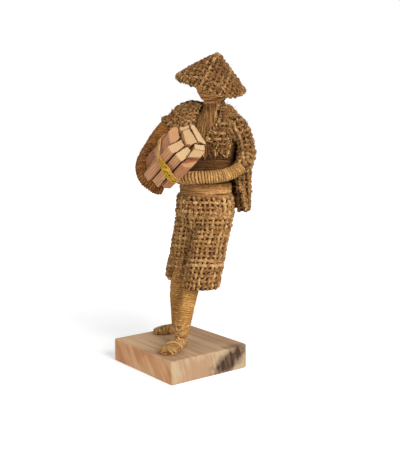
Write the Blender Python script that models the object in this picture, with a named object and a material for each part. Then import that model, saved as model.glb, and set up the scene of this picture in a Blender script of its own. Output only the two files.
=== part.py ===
"""Jute figurine of a farmer who walks with a bundle of split sticks, on a square wooden block.

The figure is wound from jute twine over bent steel wire and dressed in coarse burlap.
Metres, Z up, the underside of the block on Z = 0 and its centre over the origin.
The figure walks towards -Y, and its left side is towards +X.
"""

import math

import bmesh
import bpy
from mathutils import Matrix, Vector

MM = 0.001

# Fits
FIT_GAP = 0.35 * MM
WIRE_GAP = 0.3 * MM
SEAM_GAP = 0.4 * MM
ARM_ROOT_GAP = 0.7 * MM
LEG_GAP = 0.8 * MM

# Wooden block
BASE_LENGTH = 97.0 * MM
BASE_WIDTH = 90.0 * MM
BASE_THICKNESS = 22.0 * MM
BASE_EDGE_ROUND = 0.8 * MM
WANE_ROUND = 6.0 * MM
WIRE_HOLE_DEPTH = 13.0 * MM

# Wires inside the figure
LEG_WIRE_RADIUS = 1.3 * MM
SPINE_WIRE_RADIUS = 1.3 * MM
ARM_WIRE_RADIUS = 0.9 * MM
LEG_WIRE_IN_TORSO = 20.0 * MM
SPINE_WIRE_IN_HEAD = 18.0 * MM
SPINE_FORWARD = 3.5 * MM
SHOULDER_BACK = 2.5 * MM

# Heights of the figure above the block
HIP_HEIGHT = 118.0 * MM
TORSO_HEIGHT = 103.0 * MM
NECK_HEIGHT = 8.0 * MM
SHOULDER_HEIGHT = 95.0 * MM
WAIST_SHARE = 0.30
CHEST_SHARE = 0.70

# Wound torso: half sizes across and from front to back
HIP_HALF_WIDTH = 22.0 * MM
HIP_HALF_DEPTH = 16.0 * MM
WAIST_HALF_WIDTH = 24.5 * MM
WAIST_HALF_DEPTH = 17.5 * MM
CHEST_HALF_WIDTH = 25.5 * MM
CHEST_HALF_DEPTH = 16.5 * MM
SHOULDER_HALF_WIDTH = 25.0 * MM
SHOULDER_HALF_DEPTH = 13.0 * MM
NECK_RADIUS = 9.6 * MM
NECK_WAIST_SHARE = 0.96
HIP_TURN = 15.0
CHEST_TURN = 32.0
HIP_SPOT = (10.5 * MM, 21.5 * MM)
WAIST_SPOT = (9.8 * MM, 22.8 * MM)
CHEST_SPOT = (11.2 * MM, 27.6 * MM)
NECK_SPOT = (13.5 * MM, 30.4 * MM)

# Head and hat
HEAD_RADIUS = 14.5 * MM
HEAD_HALF_HEIGHT = 20.0 * MM
HEAD_RISE = 17.0 * MM
HEAD_SHIFT = (1.0 * MM, -5.0 * MM)
CROWN_LIFT = 84.0
HAT_HALF_ANGLE = 49.0
HAT_SLANT = 43.5 * MM
HAT_CORNER = 0.8 * MM
HAT_CORNER_TURN = 50.0
HAT_TILT = 20.0
HAT_TILT_TURN = 3.0

# Wound limbs
ARM_RADIUS = 5.0 * MM
THIGH_RADIUS = 9.5 * MM
CALF_RADIUS = 6.3 * MM
ANKLE_RADIUS = 5.4 * MM
HIP_SPACING = 25.0 * MM
LEFT_ANKLE = (14.8 * MM, -9.8 * MM)
LEFT_TOE = (30.5 * MM, -38.5 * MM)
RIGHT_ANKLE = (-25.5 * MM, 16.0 * MM)
RIGHT_TOE = (-37.5 * MM, -5.0 * MM)
LEFT_KNEE = (12.3 * MM, 3.4 * MM)
RIGHT_KNEE = (-21.0 * MM, 12.2 * MM)
KNEE_SHARE = 0.44
THIGH_BEND_SHARE = 0.55
HEEL_BACK = 4.5 * MM
HEEL_HALF_WIDTH = 5.2 * MM
HEEL_HALF_HEIGHT = 4.6 * MM
TOE_HALF_WIDTH = 8.0 * MM
TOE_HALF_HEIGHT = 2.6 * MM
HEEL_SHARE = 0.14
FINGER_SHARES = (0.9, 0.6)

# Burlap clothes
CLOTH = 2.0 * MM
CLOTH_GAP = 1.1 * MM
TROUSER_TOP = 26.0 * MM
SEAT_HALF_WIDTH = 30.0 * MM
SEAT_HALF_DEPTH = 21.5 * MM
CROTCH_DROP = 8.0 * MM
CROTCH_ROUND = 4.0 * MM
WAIST_TAPER = 0.3
WAISTBAND_SHARE = 0.8
LEG_TOP_SHARE = 0.30
LEG_TOP_STEP = 0.04
LEG_SPREAD = 0.44
THIGH_TAPER = 3.0 * MM
SEAM_TURN = -11.0
LEG_HALF_WIDTH = 15.3 * MM
HEM_RADIUS = 17.8 * MM
LEFT_HEM = (18.4 * MM, 10.8 * MM, 55.0 * MM)
RIGHT_HEM = (-21.0 * MM, 18.6 * MM, 57.5 * MM)
SASH_WIDTH = 9.8 * MM
SASH_THICKNESS = 2.4 * MM
JACKET_HEM = 10.0 * MM
JACKET_ARMPIT = 77.0 * MM
JACKET_SHOULDER = 92.7 * MM
JACKET_TOP = 107.0 * MM
ARMHOLE_RISE = 6.0 * MM
ARMHOLE_TOP = 3.0 * MM
SIDE_SEAM_ANGLE = 6.0
ARMHOLE_ANGLE = 36.0
COLLAR_SEAM_ANGLE = 4.0
LAPEL_FOOT_ANGLE = 40.0
LAPEL_TIP_ANGLE = 90.0
LAPEL_TOP_ANGLE = 50.0
RIGHT_FRONT_ANGLE = 124.0
FLARE_FROM_ANGLE = 230.0
FLARE_FULL_ANGLE = 320.0
COLLAR_HALF_WIDTH = 14.6 * MM
COLLAR_HALF_DEPTH = 13.4 * MM
JACKET_FLARE = 12.0 * MM
LAPEL_TIP = 77.0 * MM
LAPEL_FOOT = 59.0 * MM
RIGHT_FRONT_FOOT = 66.0 * MM
SLEEVE_FLARE = 0.8 * MM
SLEEVE_GAP = 0.5 * MM
RIGHT_SLEEVE_FLARE = 2.2 * MM
LEFT_SLEEVE_LENGTH = 56.0 * MM
RIGHT_SLEEVE_LENGTH = 22.0 * MM
SLEEVE_START = 5.5 * MM

# Bundle of sticks
STICK_EDGE = 0.4 * MM
BUNDLE_HEIGHT = 62.5 * MM
BUNDLE_STANDOFF = 6.0 * MM
BUNDLE_HALF_DEPTH = 21.6 * MM
BUNDLE_AIM = -78.7
BUNDLE_TURN = 2.0
BUNDLE_RISE = 35.3
BUNDLE_ROLL = -83.5
TIE_WIDTH = 6.5 * MM
TIE_THICKNESS = 1.3 * MM
TIE_SHIFT = 5.0 * MM
KNOT_RADIUS = 3.4 * MM
KNOT_TURN = 304.0

# Sticks: name, front and rear ends, share left at the rear, corners of the section from the one that stays
STICKS = (
    ("stick_plank", (23.1, -20.0), 1.0, ((-10.4, -1.3), (-12.4, 7.4), (2.0, 8.2), (3.9, -0.4), (2.4, -4.6))),
    (
        "stick_side_slat",
        (24.0, -18.5),
        0.95,
        ((1.7, 9.0), (-12.2, 9.5), (-16.7, 10.6), (-14.2, 14.3), (5.1, 16.4), (5.8, 14.4)),
    ),
    ("stick_top_slat", (22.0, -20.5), 1.0, ((-11.5, -0.6), (-15.3, -1.0), (-16.3, 9.9), (-14.1, 9.4))),
    (
        "stick_wedge",
        (19.5, -24.1),
        0.97,
        ((-3.9, -10.2), (-1.8, -18.6), (-14.2, -13.6), (-18.0, -6.0), (-17.3, -1.4), (-7.0, -5.2)),
    ),
    (
        "stick_square",
        (20.5, -24.1),
        1.0,
        ((-3.6, -6.0), (2.4, -6.0), (7.4, -17.0), (8.0, -23.4), (1.2, -24.2)),
    ),
    ("stick_small", (22.8, -19.5), 1.0, ((4.1, 4.2), (6.7, 14.3), (10.8, 12.3), (11.1, 9.2), (8.6, 1.8))),
    (
        "stick_middle",
        (20.5, -23.0),
        0.95,
        ((4.3, -3.6), (8.2, -1.6), (15.6, -13.0), (17.4, -18.0), (9.8, -20.2), (8.5, -17.0)),
    ),
    ("stick_outer", (23.8, -19.0), 0.95, ((9.2, -0.6), (13.3, 10.0), (18.1, 2.1), (15.6, -11.4))),
    (
        "stick_dark",
        (21.2, -16.0),
        0.8,
        ((17.0, -11.6), (18.5, 0.6), (21.1, -3.1), (25.0, -11.5), (23.8, -18.8), (20.0, -20.6)),
    ),
    ("stick_core", (17.5, -18.0), 1.0, ((4.6, -1.0), (4.6, 2.6), (7.1, 1.6), (7.7, -1.2))),
)

# Bends of the arms, measured from the side of the chest: out to the left, ahead, up
LEFT_ARM_BENDS = (
    (4.5, 0.5, -0.3),
    (8.5, 3.5, -7.5),
    (10.0, 6.5, -18.5),
    (10.5, 10.0, -30.0),
    (9.5, 14.5, -39.0),
    (6.0, 20.0, -45.5),
    (-0.5, 26.5, -50.0),
    (-10.0, 31.5, -52.0),
    (-20.0, 36.5, -52.5),
    (-29.0, 39.0, -52.8),
    (-37.0, 37.0, -52.6),
    (-44.0, 33.0, -52.4),
)
RIGHT_ARM_BENDS = (
    (-4.5, 0.5, 0.8),
    (-10.0, 4.0, 3.0),
    (-16.0, 7.5, 1.5),
    (-22.0, 11.0, -4.5),
    (-26.8, 17.0, -12.0),
    (-29.8, 24.0, -20.4),
    (-31.2, 32.2, -29.3),
    (-29.6, 43.5, -36.8),
    (-27.2, 51.6, -44.8),
    (-22.4, 56.0, -53.0),
    (-17.0, 54.1, -57.9),
    (-11.6, 50.0, -61.6),
    (-7.3, 45.8, -63.9),
)

# Fineness of the shapes
SIDES = 24
LIMB_SIDES = 12
BORE_SIDES = 8
ARM_SPANS = 2
LEG_SPANS = 3
HEAD_RINGS = 10
HAT_PROBES = 72
HAT_RING_SHARES = (0.03, 0.35, 0.7, 1.0)
SETTLE_PASSES = 6
STEEP = 0.7


def clear_scene():
    """Remove every object of the start-up scene."""
    for found in list(bpy.data.objects):
        bpy.data.objects.remove(found, do_unlink=True)


def surface(name, colour, roughness, metallic=0.0):
    """A plain material of one colour."""
    made = bpy.data.materials.new(name)
    made.use_nodes = True
    shader = made.node_tree.nodes["Principled BSDF"]
    shader.inputs["Base Color"].default_value = (*colour, 1.0)
    shader.inputs["Roughness"].default_value = roughness
    shader.inputs["Metallic"].default_value = metallic
    return made


def node(name, bm, material, smooth=True):
    """Turn a finished mesh into a named object with one material."""
    bmesh.ops.recalc_face_normals(bm, faces=bm.faces[:])
    for face in bm.faces:
        face.smooth = smooth
    mesh = bpy.data.meshes.new(name)
    bm.to_mesh(mesh)
    bm.free()
    mesh.materials.append(material)
    made = bpy.data.objects.new(name, mesh)
    bpy.context.scene.collection.objects.link(made)
    return made


def helper(name, bm):
    """A mesh that only cuts or joins others, kept out of the part."""
    made = node(name, bm, bpy.data.materials[0])
    made.hide_render = True
    made.display_type = "WIRE"
    return made


def boolean(target, tool, operation="DIFFERENCE"):
    """Cut, join or keep the common part of a node and a helper."""
    step = target.modifiers.new(tool.name, "BOOLEAN")
    step.operation = operation
    step.solver = "EXACT"
    step.object = tool


def lerp(start, end, share):
    """The value a share of the way from start to end."""
    return start + (end - start) * share


def eased(table, at):
    """Value of a table of (place, value) rows, with soft bends between the rows."""
    if at <= table[0][0]:
        return table[0][1]
    for (low, first), (high, second) in zip(table, table[1:]):
        if at <= high:
            share = (at - low) / (high - low)
            return lerp(first, second, share * share * (3.0 - 2.0 * share))
    return table[-1][1]


def across(turn):
    """Level direction to the figure's left when it is turned from -Y towards +X."""
    return Vector((math.cos(math.radians(turn)), math.sin(math.radians(turn)), 0.0))


def ahead(turn):
    """Level direction in front of the figure at that turn."""
    return Vector((math.sin(math.radians(turn)), -math.cos(math.radians(turn)), 0.0))


def ring(centre, x_axis, y_axis, x_radius, y_radius):
    """Matrix that stands a unit circle at a place, with its own radius on each axis."""
    z_axis = x_axis.cross(y_axis)
    turned = Matrix((x_axis, y_axis, z_axis)).transposed().to_4x4()
    sized = Matrix.Diagonal((x_radius, y_radius, 1.0, 1.0))
    return Matrix.Translation(centre) @ turned @ sized


def level_ring(centre, x_radius, y_radius, turn=0.0):
    """A level ring turned about the vertical."""
    return ring(centre, across(turn), ahead(turn), x_radius, y_radius)


def smooth_path(points, spans):
    """A soft curve through the points, with a number of spans between each two."""
    held = [points[0] * 2.0 - points[1], *points, points[-1] * 2.0 - points[-2]]
    path = []
    for before, start, end, after in zip(held, held[1:], held[2:], held[3:]):
        for step in range(spans):
            t = step / spans
            path.append(
                0.5
                * (
                    start * 2.0
                    + (end - before) * t
                    + (before * 2.0 - start * 5.0 + end * 4.0 - after) * t**2
                    + (start * 3.0 - before - end * 3.0 + after) * t**3
                )
            )
    path.append(points[-1].copy())
    return path


def square_rings(path, radii):
    """Rings that stand square across a path, turned as little as possible."""
    rings = []
    start = (path[1] - path[0]).normalized()
    x_axis = Vector((1.0, 0.0, 0.0)) if abs(start.z) > STEEP else Vector((0.0, 0.0, 1.0))
    for index, (point, radius) in enumerate(zip(path, radii)):
        first = path[max(index - 1, 0)]
        last = path[min(index + 1, len(path) - 1)]
        along = (last - first).normalized()
        x_axis = (x_axis - along * x_axis.dot(along)).normalized()
        rings.append(ring(point, x_axis, along.cross(x_axis), radius, radius))
    return rings


def skin(bm, rings, sides):
    """Extrude a loop through every ring, and return its first and last loops."""
    unit = [
        Vector((math.cos(math.tau * i / sides), math.sin(math.tau * i / sides), 0.0))
        for i in range(sides)
    ]
    made = bmesh.ops.create_circle(bm, cap_ends=False, radius=1.0, segments=sides)
    loop = made["verts"]
    for vert, spot in zip(loop, unit):
        vert.co = rings[0] @ spot
    first = loop
    for place in rings[1:]:
        edges = [bm.edges.get((loop[i - 1], loop[i])) for i in range(sides)]
        drawn = bmesh.ops.extrude_edge_only(bm, edges=edges)["geom"]
        fresh = {item for item in drawn if isinstance(item, bmesh.types.BMVert)}
        after = []
        for vert, spot in zip(loop, unit):
            ends = [edge.other_vert(vert) for edge in vert.link_edges]
            twin = next(end for end in ends if end in fresh)
            twin.co = place @ spot
            after.append(twin)
        loop = after
    return first, loop


def solid(rings, sides=SIDES):
    """A closed solid skinned over rings."""
    bm = bmesh.new()
    first, last = skin(bm, rings, sides)
    bm.faces.new(first)
    bm.faces.new(last)
    return bm


def tube(outer, inner, sides=LIMB_SIDES, blind=False):
    """A wall between two skins: open at both ends, or closed at its last end."""
    bm = bmesh.new()
    first, last = skin(bm, [*reversed(inner), *outer], sides)
    if blind:
        bm.faces.new(first)
        bm.faces.new(last)
    else:
        for i in range(sides):
            bm.faces.new((first[i - 1], first[i], last[i], last[i - 1]))
    return bm


def wire(name, path, radius, material):
    """A round wire bent along a path."""
    return node(name, solid(square_rings(path, [radius] * len(path)), BORE_SIDES), material)


def channel(name, path, radius):
    """The clear way for a wire, as a cutter that runs past both ends of its path."""
    start = path[0] + (path[0] - path[1]).normalized() * FIT_GAP
    end = path[-1] + (path[-1] - path[-2]).normalized() * FIT_GAP
    wide = [radius + WIRE_GAP] * len(path)
    return helper(name, solid(square_rings([start, *path[1:-1], end], wide), BORE_SIDES))


def hip_level(height):
    """World height of a place measured up from the foot of the torso."""
    return BASE_THICKNESS + HIP_HEIGHT + height


class Torso:
    """The wound body, whose sections shape everything worn over it."""

    HALF_WIDTH = (
        (0.0, HIP_HALF_WIDTH),
        (0.22 * TORSO_HEIGHT, WAIST_HALF_WIDTH),
        (0.45 * TORSO_HEIGHT, WAIST_HALF_WIDTH),
        (CHEST_SHARE * TORSO_HEIGHT, CHEST_HALF_WIDTH),
        (SHOULDER_HEIGHT, SHOULDER_HALF_WIDTH),
        (TORSO_HEIGHT, NECK_RADIUS),
    )
    HALF_DEPTH = (
        (0.0, HIP_HALF_DEPTH),
        (0.22 * TORSO_HEIGHT, WAIST_HALF_DEPTH),
        (0.60 * TORSO_HEIGHT, WAIST_HALF_DEPTH),
        (0.80 * TORSO_HEIGHT, CHEST_HALF_DEPTH),
        (SHOULDER_HEIGHT, SHOULDER_HALF_DEPTH),
        (TORSO_HEIGHT, NECK_RADIUS),
    )
    TURN = (
        (0.0, HIP_TURN),
        (WAIST_SHARE * TORSO_HEIGHT, HIP_TURN),
        (0.85 * TORSO_HEIGHT, CHEST_TURN),
    )
    EAST = (
        (0.0, HIP_SPOT[0]),
        (WAIST_SHARE * TORSO_HEIGHT, WAIST_SPOT[0]),
        (0.75 * TORSO_HEIGHT, CHEST_SPOT[0]),
        (TORSO_HEIGHT, NECK_SPOT[0]),
    )
    NORTH = (
        (0.0, HIP_SPOT[1]),
        (WAIST_SHARE * TORSO_HEIGHT, WAIST_SPOT[1]),
        (0.75 * TORSO_HEIGHT, CHEST_SPOT[1]),
        (TORSO_HEIGHT, NECK_SPOT[1]),
    )
    RINGS = 20

    @classmethod
    def centre(cls, height):
        """Middle of the body at a height above its foot."""
        return Vector((eased(cls.EAST, height), eased(cls.NORTH, height), hip_level(height)))

    @classmethod
    def turn(cls, height):
        """How far the body is turned at a height."""
        return eased(cls.TURN, height)

    @classmethod
    def halves(cls, height, grow=0.0):
        """Half width and half depth at a height, grown by a clearance."""
        return eased(cls.HALF_WIDTH, height) + grow, eased(cls.HALF_DEPTH, height) + grow

    @classmethod
    def ring(cls, height, grow=0.0):
        """Ring round the body at a height, grown by a clearance."""
        return level_ring(cls.centre(height), *cls.halves(height, grow), cls.turn(height))

    @classmethod
    def spot(cls, height, angle, grow=0.0):
        """Point on the body: 0 degrees is its left, 90 its front, 270 its back."""
        turned = math.radians(angle)
        return cls.ring(height, grow) @ Vector((math.cos(turned), math.sin(turned), 0.0))

    @classmethod
    def reach(cls, height, direction):
        """How far the body reaches from its middle in a level direction."""
        half_width, half_depth = cls.halves(height)
        wide = half_width * direction.dot(across(cls.turn(height)))
        deep = half_depth * direction.dot(ahead(cls.turn(height)))
        return math.hypot(wide, deep)

    @classmethod
    def clear(cls, point, reach):
        """The point, moved level out of the body until it is a reach away from it."""
        height = point.z - hip_level(0.0)
        centre = cls.centre(height)
        half_width, half_depth = cls.halves(height, reach)
        away = point - centre
        wide = away.dot(across(cls.turn(height))) / half_width
        deep = away.dot(ahead(cls.turn(height))) / half_depth
        inside = math.hypot(wide, deep)
        if inside >= 1.0:
            return point
        return Vector((*(centre + away / inside).xy, point.z))


class Bundle:
    """Split sticks laid side by side, and the frame that they lie in."""

    def __init__(self):
        self.sections = [[Vector(corner) * MM for corner in row[3]] for row in STICKS]
        aim = Vector((math.cos(math.radians(BUNDLE_AIM)), math.sin(math.radians(BUNDLE_AIM)), 0.0))
        stand = Torso.reach(BUNDLE_HEIGHT, aim) + BUNDLE_STANDOFF + BUNDLE_HALF_DEPTH
        self.centre = Torso.centre(BUNDLE_HEIGHT) + aim * stand
        level = Vector((math.cos(math.radians(BUNDLE_TURN)), math.sin(math.radians(BUNDLE_TURN)), 0.0))
        rise = math.radians(BUNDLE_RISE)
        self.axis = level * math.cos(rise) + Vector((0.0, 0.0, math.sin(rise)))
        side = Vector((0.0, 0.0, 1.0)).cross(self.axis).normalized()
        over = self.axis.cross(side)
        roll = math.radians(BUNDLE_ROLL)
        self.first = side * math.cos(roll) + over * math.sin(roll)
        self.second = self.axis.cross(self.first)
        self.rear = -min(row[1][1] for row in STICKS) * MM
        self.tied = self.hull(FIT_GAP + TIE_THICKNESS)

    def spot(self, flat, along):
        """World point of a place in the bundle's section, at a place along it."""
        return self.centre + self.first * flat.x + self.second * flat.y + self.axis * along

    def leave(self, toward, grow):
        """How far from the middle the tied outline, grown by a clearance, lies in a direction."""
        exits = []
        for start, end in zip(self.tied, self.tied[1:] + self.tied[:1]):
            edge = (end - start).normalized()
            out = Vector((edge.y, -edge.x))
            if out.dot(toward) > 0.0:
                exits.append((out.dot(start) + grow) / out.dot(toward))
        return min(exits)

    def clear(self, point, reach):
        """The point, moved out until it is a reach away from the tied bundle."""
        away = point - self.centre
        along = away.dot(self.axis)
        if abs(along) > self.rear + reach:
            return point
        flat = Vector((away.dot(self.first), away.dot(self.second)))
        outward = flat.normalized()
        far = self.leave(outward, reach)
        if flat.length >= far:
            return point
        return self.spot(outward * far, along)

    def behind(self, point, reach):
        """The point, moved back until it is a reach behind the lower ends of the sticks."""
        along = (point - self.centre).dot(self.axis)
        need = -self.rear - reach
        if along <= need or (point - self.centre - self.axis * along).length > BUNDLE_HALF_DEPTH + reach:
            return point
        return point + self.axis * (need - along)

    def hull(self, grow):
        """Corners of the tight loop round all the sections, grown by a clearance."""
        corners = sorted({(round(c.x, 7), round(c.y, 7)) for part in self.sections for c in part})
        chain = []
        for pass_corners in (corners, corners[::-1]):
            low = len(chain)
            for corner in pass_corners:
                while len(chain) >= low + 2 and self.right_turn(chain[-2], chain[-1], corner):
                    chain.pop()
                chain.append(corner)
            chain.pop()
        ends = [Vector(corner) for corner in chain]
        grown = []
        for before, corner, after in zip(ends[-1:] + ends[:-1], ends, ends[1:] + ends[:1]):
            one = (corner - before).normalized()
            two = (after - corner).normalized()
            out_one = Vector((one.y, -one.x))
            out_two = Vector((two.y, -two.x))
            halfway = (out_one + out_two).normalized()
            grown.append(corner + halfway * (grow / halfway.dot(out_one)))
        return grown

    @staticmethod
    def right_turn(start, middle, end):
        """Whether the way from start over middle to end fails to turn left."""
        first = (middle[0] - start[0], middle[1] - start[1])
        second = (end[0] - start[0], end[1] - start[1])
        return first[0] * second[1] - first[1] * second[0] <= 0.0


def build_base(wood, leg_channels):
    """The block, with one waney corner and a hole for each leg wire."""
    bm = bmesh.new()
    bmesh.ops.create_cube(bm, size=1.0)
    bmesh.ops.scale(bm, vec=(BASE_LENGTH, BASE_WIDTH, BASE_THICKNESS), verts=bm.verts[:])
    bmesh.ops.translate(bm, vec=(0.0, 0.0, BASE_THICKNESS / 2.0), verts=bm.verts[:])
    corner = next(
        edge
        for edge in bm.edges
        if all(vert.co.x > 0.0 and vert.co.y > 0.0 for vert in edge.verts)
    )
    bmesh.ops.bevel(
        bm, geom=[corner], offset=WANE_ROUND, segments=4, profile=0.5, affect="EDGES", material=-1
    )
    bmesh.ops.bevel(
        bm,
        geom=bm.edges[:],
        offset=BASE_EDGE_ROUND,
        segments=1,
        profile=0.5,
        affect="EDGES",
        clamp_overlap=True,
        material=-1,
    )
    made = node("base_block", bm, wood, smooth=False)
    for tool in leg_channels:
        boolean(made, tool)


def leg_path(ankle, knee, side):
    """Middle line of a leg, from the hole in the block to the foot of the torso."""
    hip = Torso.centre(0.0) + across(HIP_TURN) * (side * HIP_SPACING / 2.0)
    floor = BASE_THICKNESS
    knee_height = floor + KNEE_SHARE * HIP_HEIGHT
    points = [
        Vector((*ankle, floor)),
        Vector((*ankle, floor + 2.0 * HEEL_HALF_HEIGHT + 2.0 * FIT_GAP)),
        Vector((*knee, knee_height)),
        lerp(Vector((*knee, knee_height)), hip, THIGH_BEND_SHARE),
        hip - Vector((0.0, 0.0, FIT_GAP)),
    ]
    return smooth_path(points[1:], LEG_SPANS), points[0]


def leg_radius(share):
    """Radius of a leg a share of the way up it."""
    return eased(
        ((0.0, ANKLE_RADIUS), (0.3, CALF_RADIUS), (0.6, CALF_RADIUS), (1.0, THIGH_RADIUS)), share
    )


def build_leg(side_name, side, ankle, knee, twine, steel):
    """One wound leg with its wire; returns the clear ways for the wire and the middle line."""
    path, floor_point = leg_path(ankle, knee, side)
    count = len(path) - 1
    outer = [
        level_ring(point, leg_radius(i / count), leg_radius(i / count))
        for i, point in enumerate(path)
    ]
    bore = LEG_WIRE_RADIUS + WIRE_GAP
    inner = [level_ring(point, bore, bore) for point in path]
    node(f"{side_name}_leg_wrap", tube(outer, inner), twine)
    hole_end = floor_point - Vector((0.0, 0.0, WIRE_HOLE_DEPTH))
    up = (path[-1] - path[-2]).normalized()
    tip = path[-1] + up * LEG_WIRE_IN_TORSO
    lowest = hole_end + Vector((0.0, 0.0, WIRE_GAP))
    bent = [lowest, floor_point, *path, tip - up * WIRE_GAP]
    wire(f"{side_name}_leg_wire", bent, LEG_WIRE_RADIUS, steel)
    above = path[0] + Vector((0.0, 0.0, FIT_GAP))
    below = channel(f"cut_{side_name}_foot", [hole_end, floor_point, above], LEG_WIRE_RADIUS)
    into = channel(f"cut_{side_name}_hip", [path[-2], path[-1], tip], LEG_WIRE_RADIUS)
    return below, into, path


def build_foot(side_name, ankle, toe, tool, twine):
    """One wound foot, flat on the block, with a hole for the leg wire."""
    start = Vector((*ankle, BASE_THICKNESS))
    end = Vector((*toe, BASE_THICKNESS))
    along = (end - start).normalized()
    heel = start - along * HEEL_BACK
    side = Vector((0.0, 0.0, 1.0)).cross(along)
    length = (end - heel).length
    rows = (
        (0.0, 0.55, 0.6),
        (0.05, 0.85, 0.9),
        (HEEL_SHARE, 1.0, 1.0),
        (0.3, 1.0, 1.0),
        (0.5, 1.0, 1.0),
        (0.75, 1.0, 1.0),
        (0.93, 1.0, 1.0),
        (1.0, 0.8, 0.8),
    )
    rings = []
    for share, wide, high in rows:
        half_width = wide * lerp(HEEL_HALF_WIDTH, TOE_HALF_WIDTH, share)
        slope = max(share - HEEL_SHARE, 0.0) / (1.0 - HEEL_SHARE)
        half_height = high * lerp(HEEL_HALF_HEIGHT, TOE_HALF_HEIGHT, slope)
        middle = heel + along * (share * length) + Vector((0.0, 0.0, half_height + FIT_GAP))
        rings.append(ring(middle, side, Vector((0.0, 0.0, 1.0)), half_width, half_height))
    made = node(f"{side_name}_foot_wrap", solid(rings, LIMB_SIDES), twine)
    boolean(made, tool)


def build_torso(fibre, tools):
    """The wound body, with a clear way for each wire."""
    steps = Torso.RINGS - 1
    rings = [Torso.ring(TORSO_HEIGHT * step / steps) for step in range(Torso.RINGS)]
    made = node("torso_core", solid(rings), fibre)
    for tool in tools:
        boolean(made, tool)


def spine_path():
    """Middle line of the spine wire, from the belly up into the head."""
    low = Torso.centre(WAIST_SHARE * TORSO_HEIGHT) + ahead(HIP_TURN) * SPINE_FORWARD
    chest = Torso.centre(CHEST_SHARE * TORSO_HEIGHT) + ahead(CHEST_TURN) * SPINE_FORWARD
    neck = Torso.centre(TORSO_HEIGHT) + ahead(CHEST_TURN) * SPINE_FORWARD
    up = Vector((0.0, 0.0, 1.0))
    skull = neck + up * (NECK_HEIGHT + 3.0 * FIT_GAP)
    return smooth_path([low, chest, neck, skull, skull + up * SPINE_WIRE_IN_HEAD], 2)


def build_neck_and_head(fibre, tool):
    """The wound neck on the torso, and the head on the neck."""
    foot = Torso.centre(TORSO_HEIGHT) + Vector((0.0, 0.0, FIT_GAP))
    top = foot + Vector((0.0, 0.0, NECK_HEIGHT))
    middle = (foot + top) / 2.0
    waist = NECK_WAIST_SHARE * NECK_RADIUS
    rings = [
        level_ring(foot, NECK_RADIUS, NECK_RADIUS),
        level_ring(middle, waist, waist),
        level_ring(top, NECK_RADIUS, NECK_RADIUS),
    ]
    boolean(node("neck_wrap", solid(rings), fibre), tool)
    centre = head_centre()
    chin = top.z + FIT_GAP
    rings = []
    low = math.asin((chin - centre.z) / HEAD_HALF_HEIGHT)
    for step in range(HEAD_RINGS):
        share = step / (HEAD_RINGS - 1)
        lift = lerp(low, math.radians(CROWN_LIFT), share)
        radius = HEAD_RADIUS * math.cos(lift)
        height = HEAD_HALF_HEIGHT * math.sin(lift)
        lean = (1.0 - share) ** 2
        spot = centre - Vector((*HEAD_SHIFT, 0.0)) * lean
        rings.append(level_ring(Vector((*spot.xy, centre.z + height)), radius, radius))
    boolean(node("head", solid(rings), fibre), tool)


def head_centre():
    """Middle of the head."""
    neck_top = Torso.centre(TORSO_HEIGHT) + Vector((0.0, 0.0, NECK_HEIGHT + 2.0 * FIT_GAP))
    return neck_top + Vector((*HEAD_SHIFT, HEAD_RISE))


def build_hat(burlap):
    """A conical hat, tipped, resting on the crown of the head."""
    half_angle = math.radians(HAT_HALF_ANGLE)
    toward = Vector(
        (math.cos(math.radians(HAT_TILT_TURN)), math.sin(math.radians(HAT_TILT_TURN)), 0.0)
    )
    tilt = math.radians(HAT_TILT)
    axis = Vector((0.0, 0.0, math.cos(tilt))) + toward * math.sin(tilt)
    side = axis.cross(toward).normalized()
    front = side.cross(axis)
    need = 0.0
    for step in range(HAT_PROBES):
        turned = math.tau * step / HAT_PROBES
        outward = front * math.cos(turned) + side * math.sin(turned)
        normal = outward * math.cos(half_angle) + axis * math.sin(half_angle)
        level = HEAD_RADIUS * math.hypot(normal.x, normal.y)
        bulge = math.hypot(level, HEAD_HALF_HEIGHT * normal.z)
        need = max(need, (bulge + FIT_GAP) / math.sin(half_angle))
    hollow_tip = head_centre() + axis * need
    tip = hollow_tip + axis * (CLOTH / math.sin(half_angle))
    walls = []
    for apex in (hollow_tip, tip):
        rings = []
        for share in HAT_RING_SHARES:
            radius = HAT_SLANT * share * math.sin(half_angle)
            middle = apex - axis * (HAT_SLANT * share * math.cos(half_angle))
            rings.append(ring(middle, front, side, radius, radius))
        walls.append(rings)
    bm = tube(walls[1][::-1], walls[0][::-1], SIDES, blind=True)
    rim_from = (HAT_RING_SHARES[-2] + HAT_RING_SHARES[-1]) / 2.0
    for vert in bm.verts:
        away = vert.co - tip
        outward = away - axis * away.dot(axis)
        if outward.length < rim_from * HAT_SLANT * math.sin(half_angle):
            continue
        turned = math.atan2(outward.dot(side), outward.dot(front))
        lobe = math.cos(2.0 * (turned - math.radians(HAT_CORNER_TURN)))
        vert.co += away.normalized() * (HAT_CORNER * lobe)
    node("hat", bm, burlap)


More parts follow.
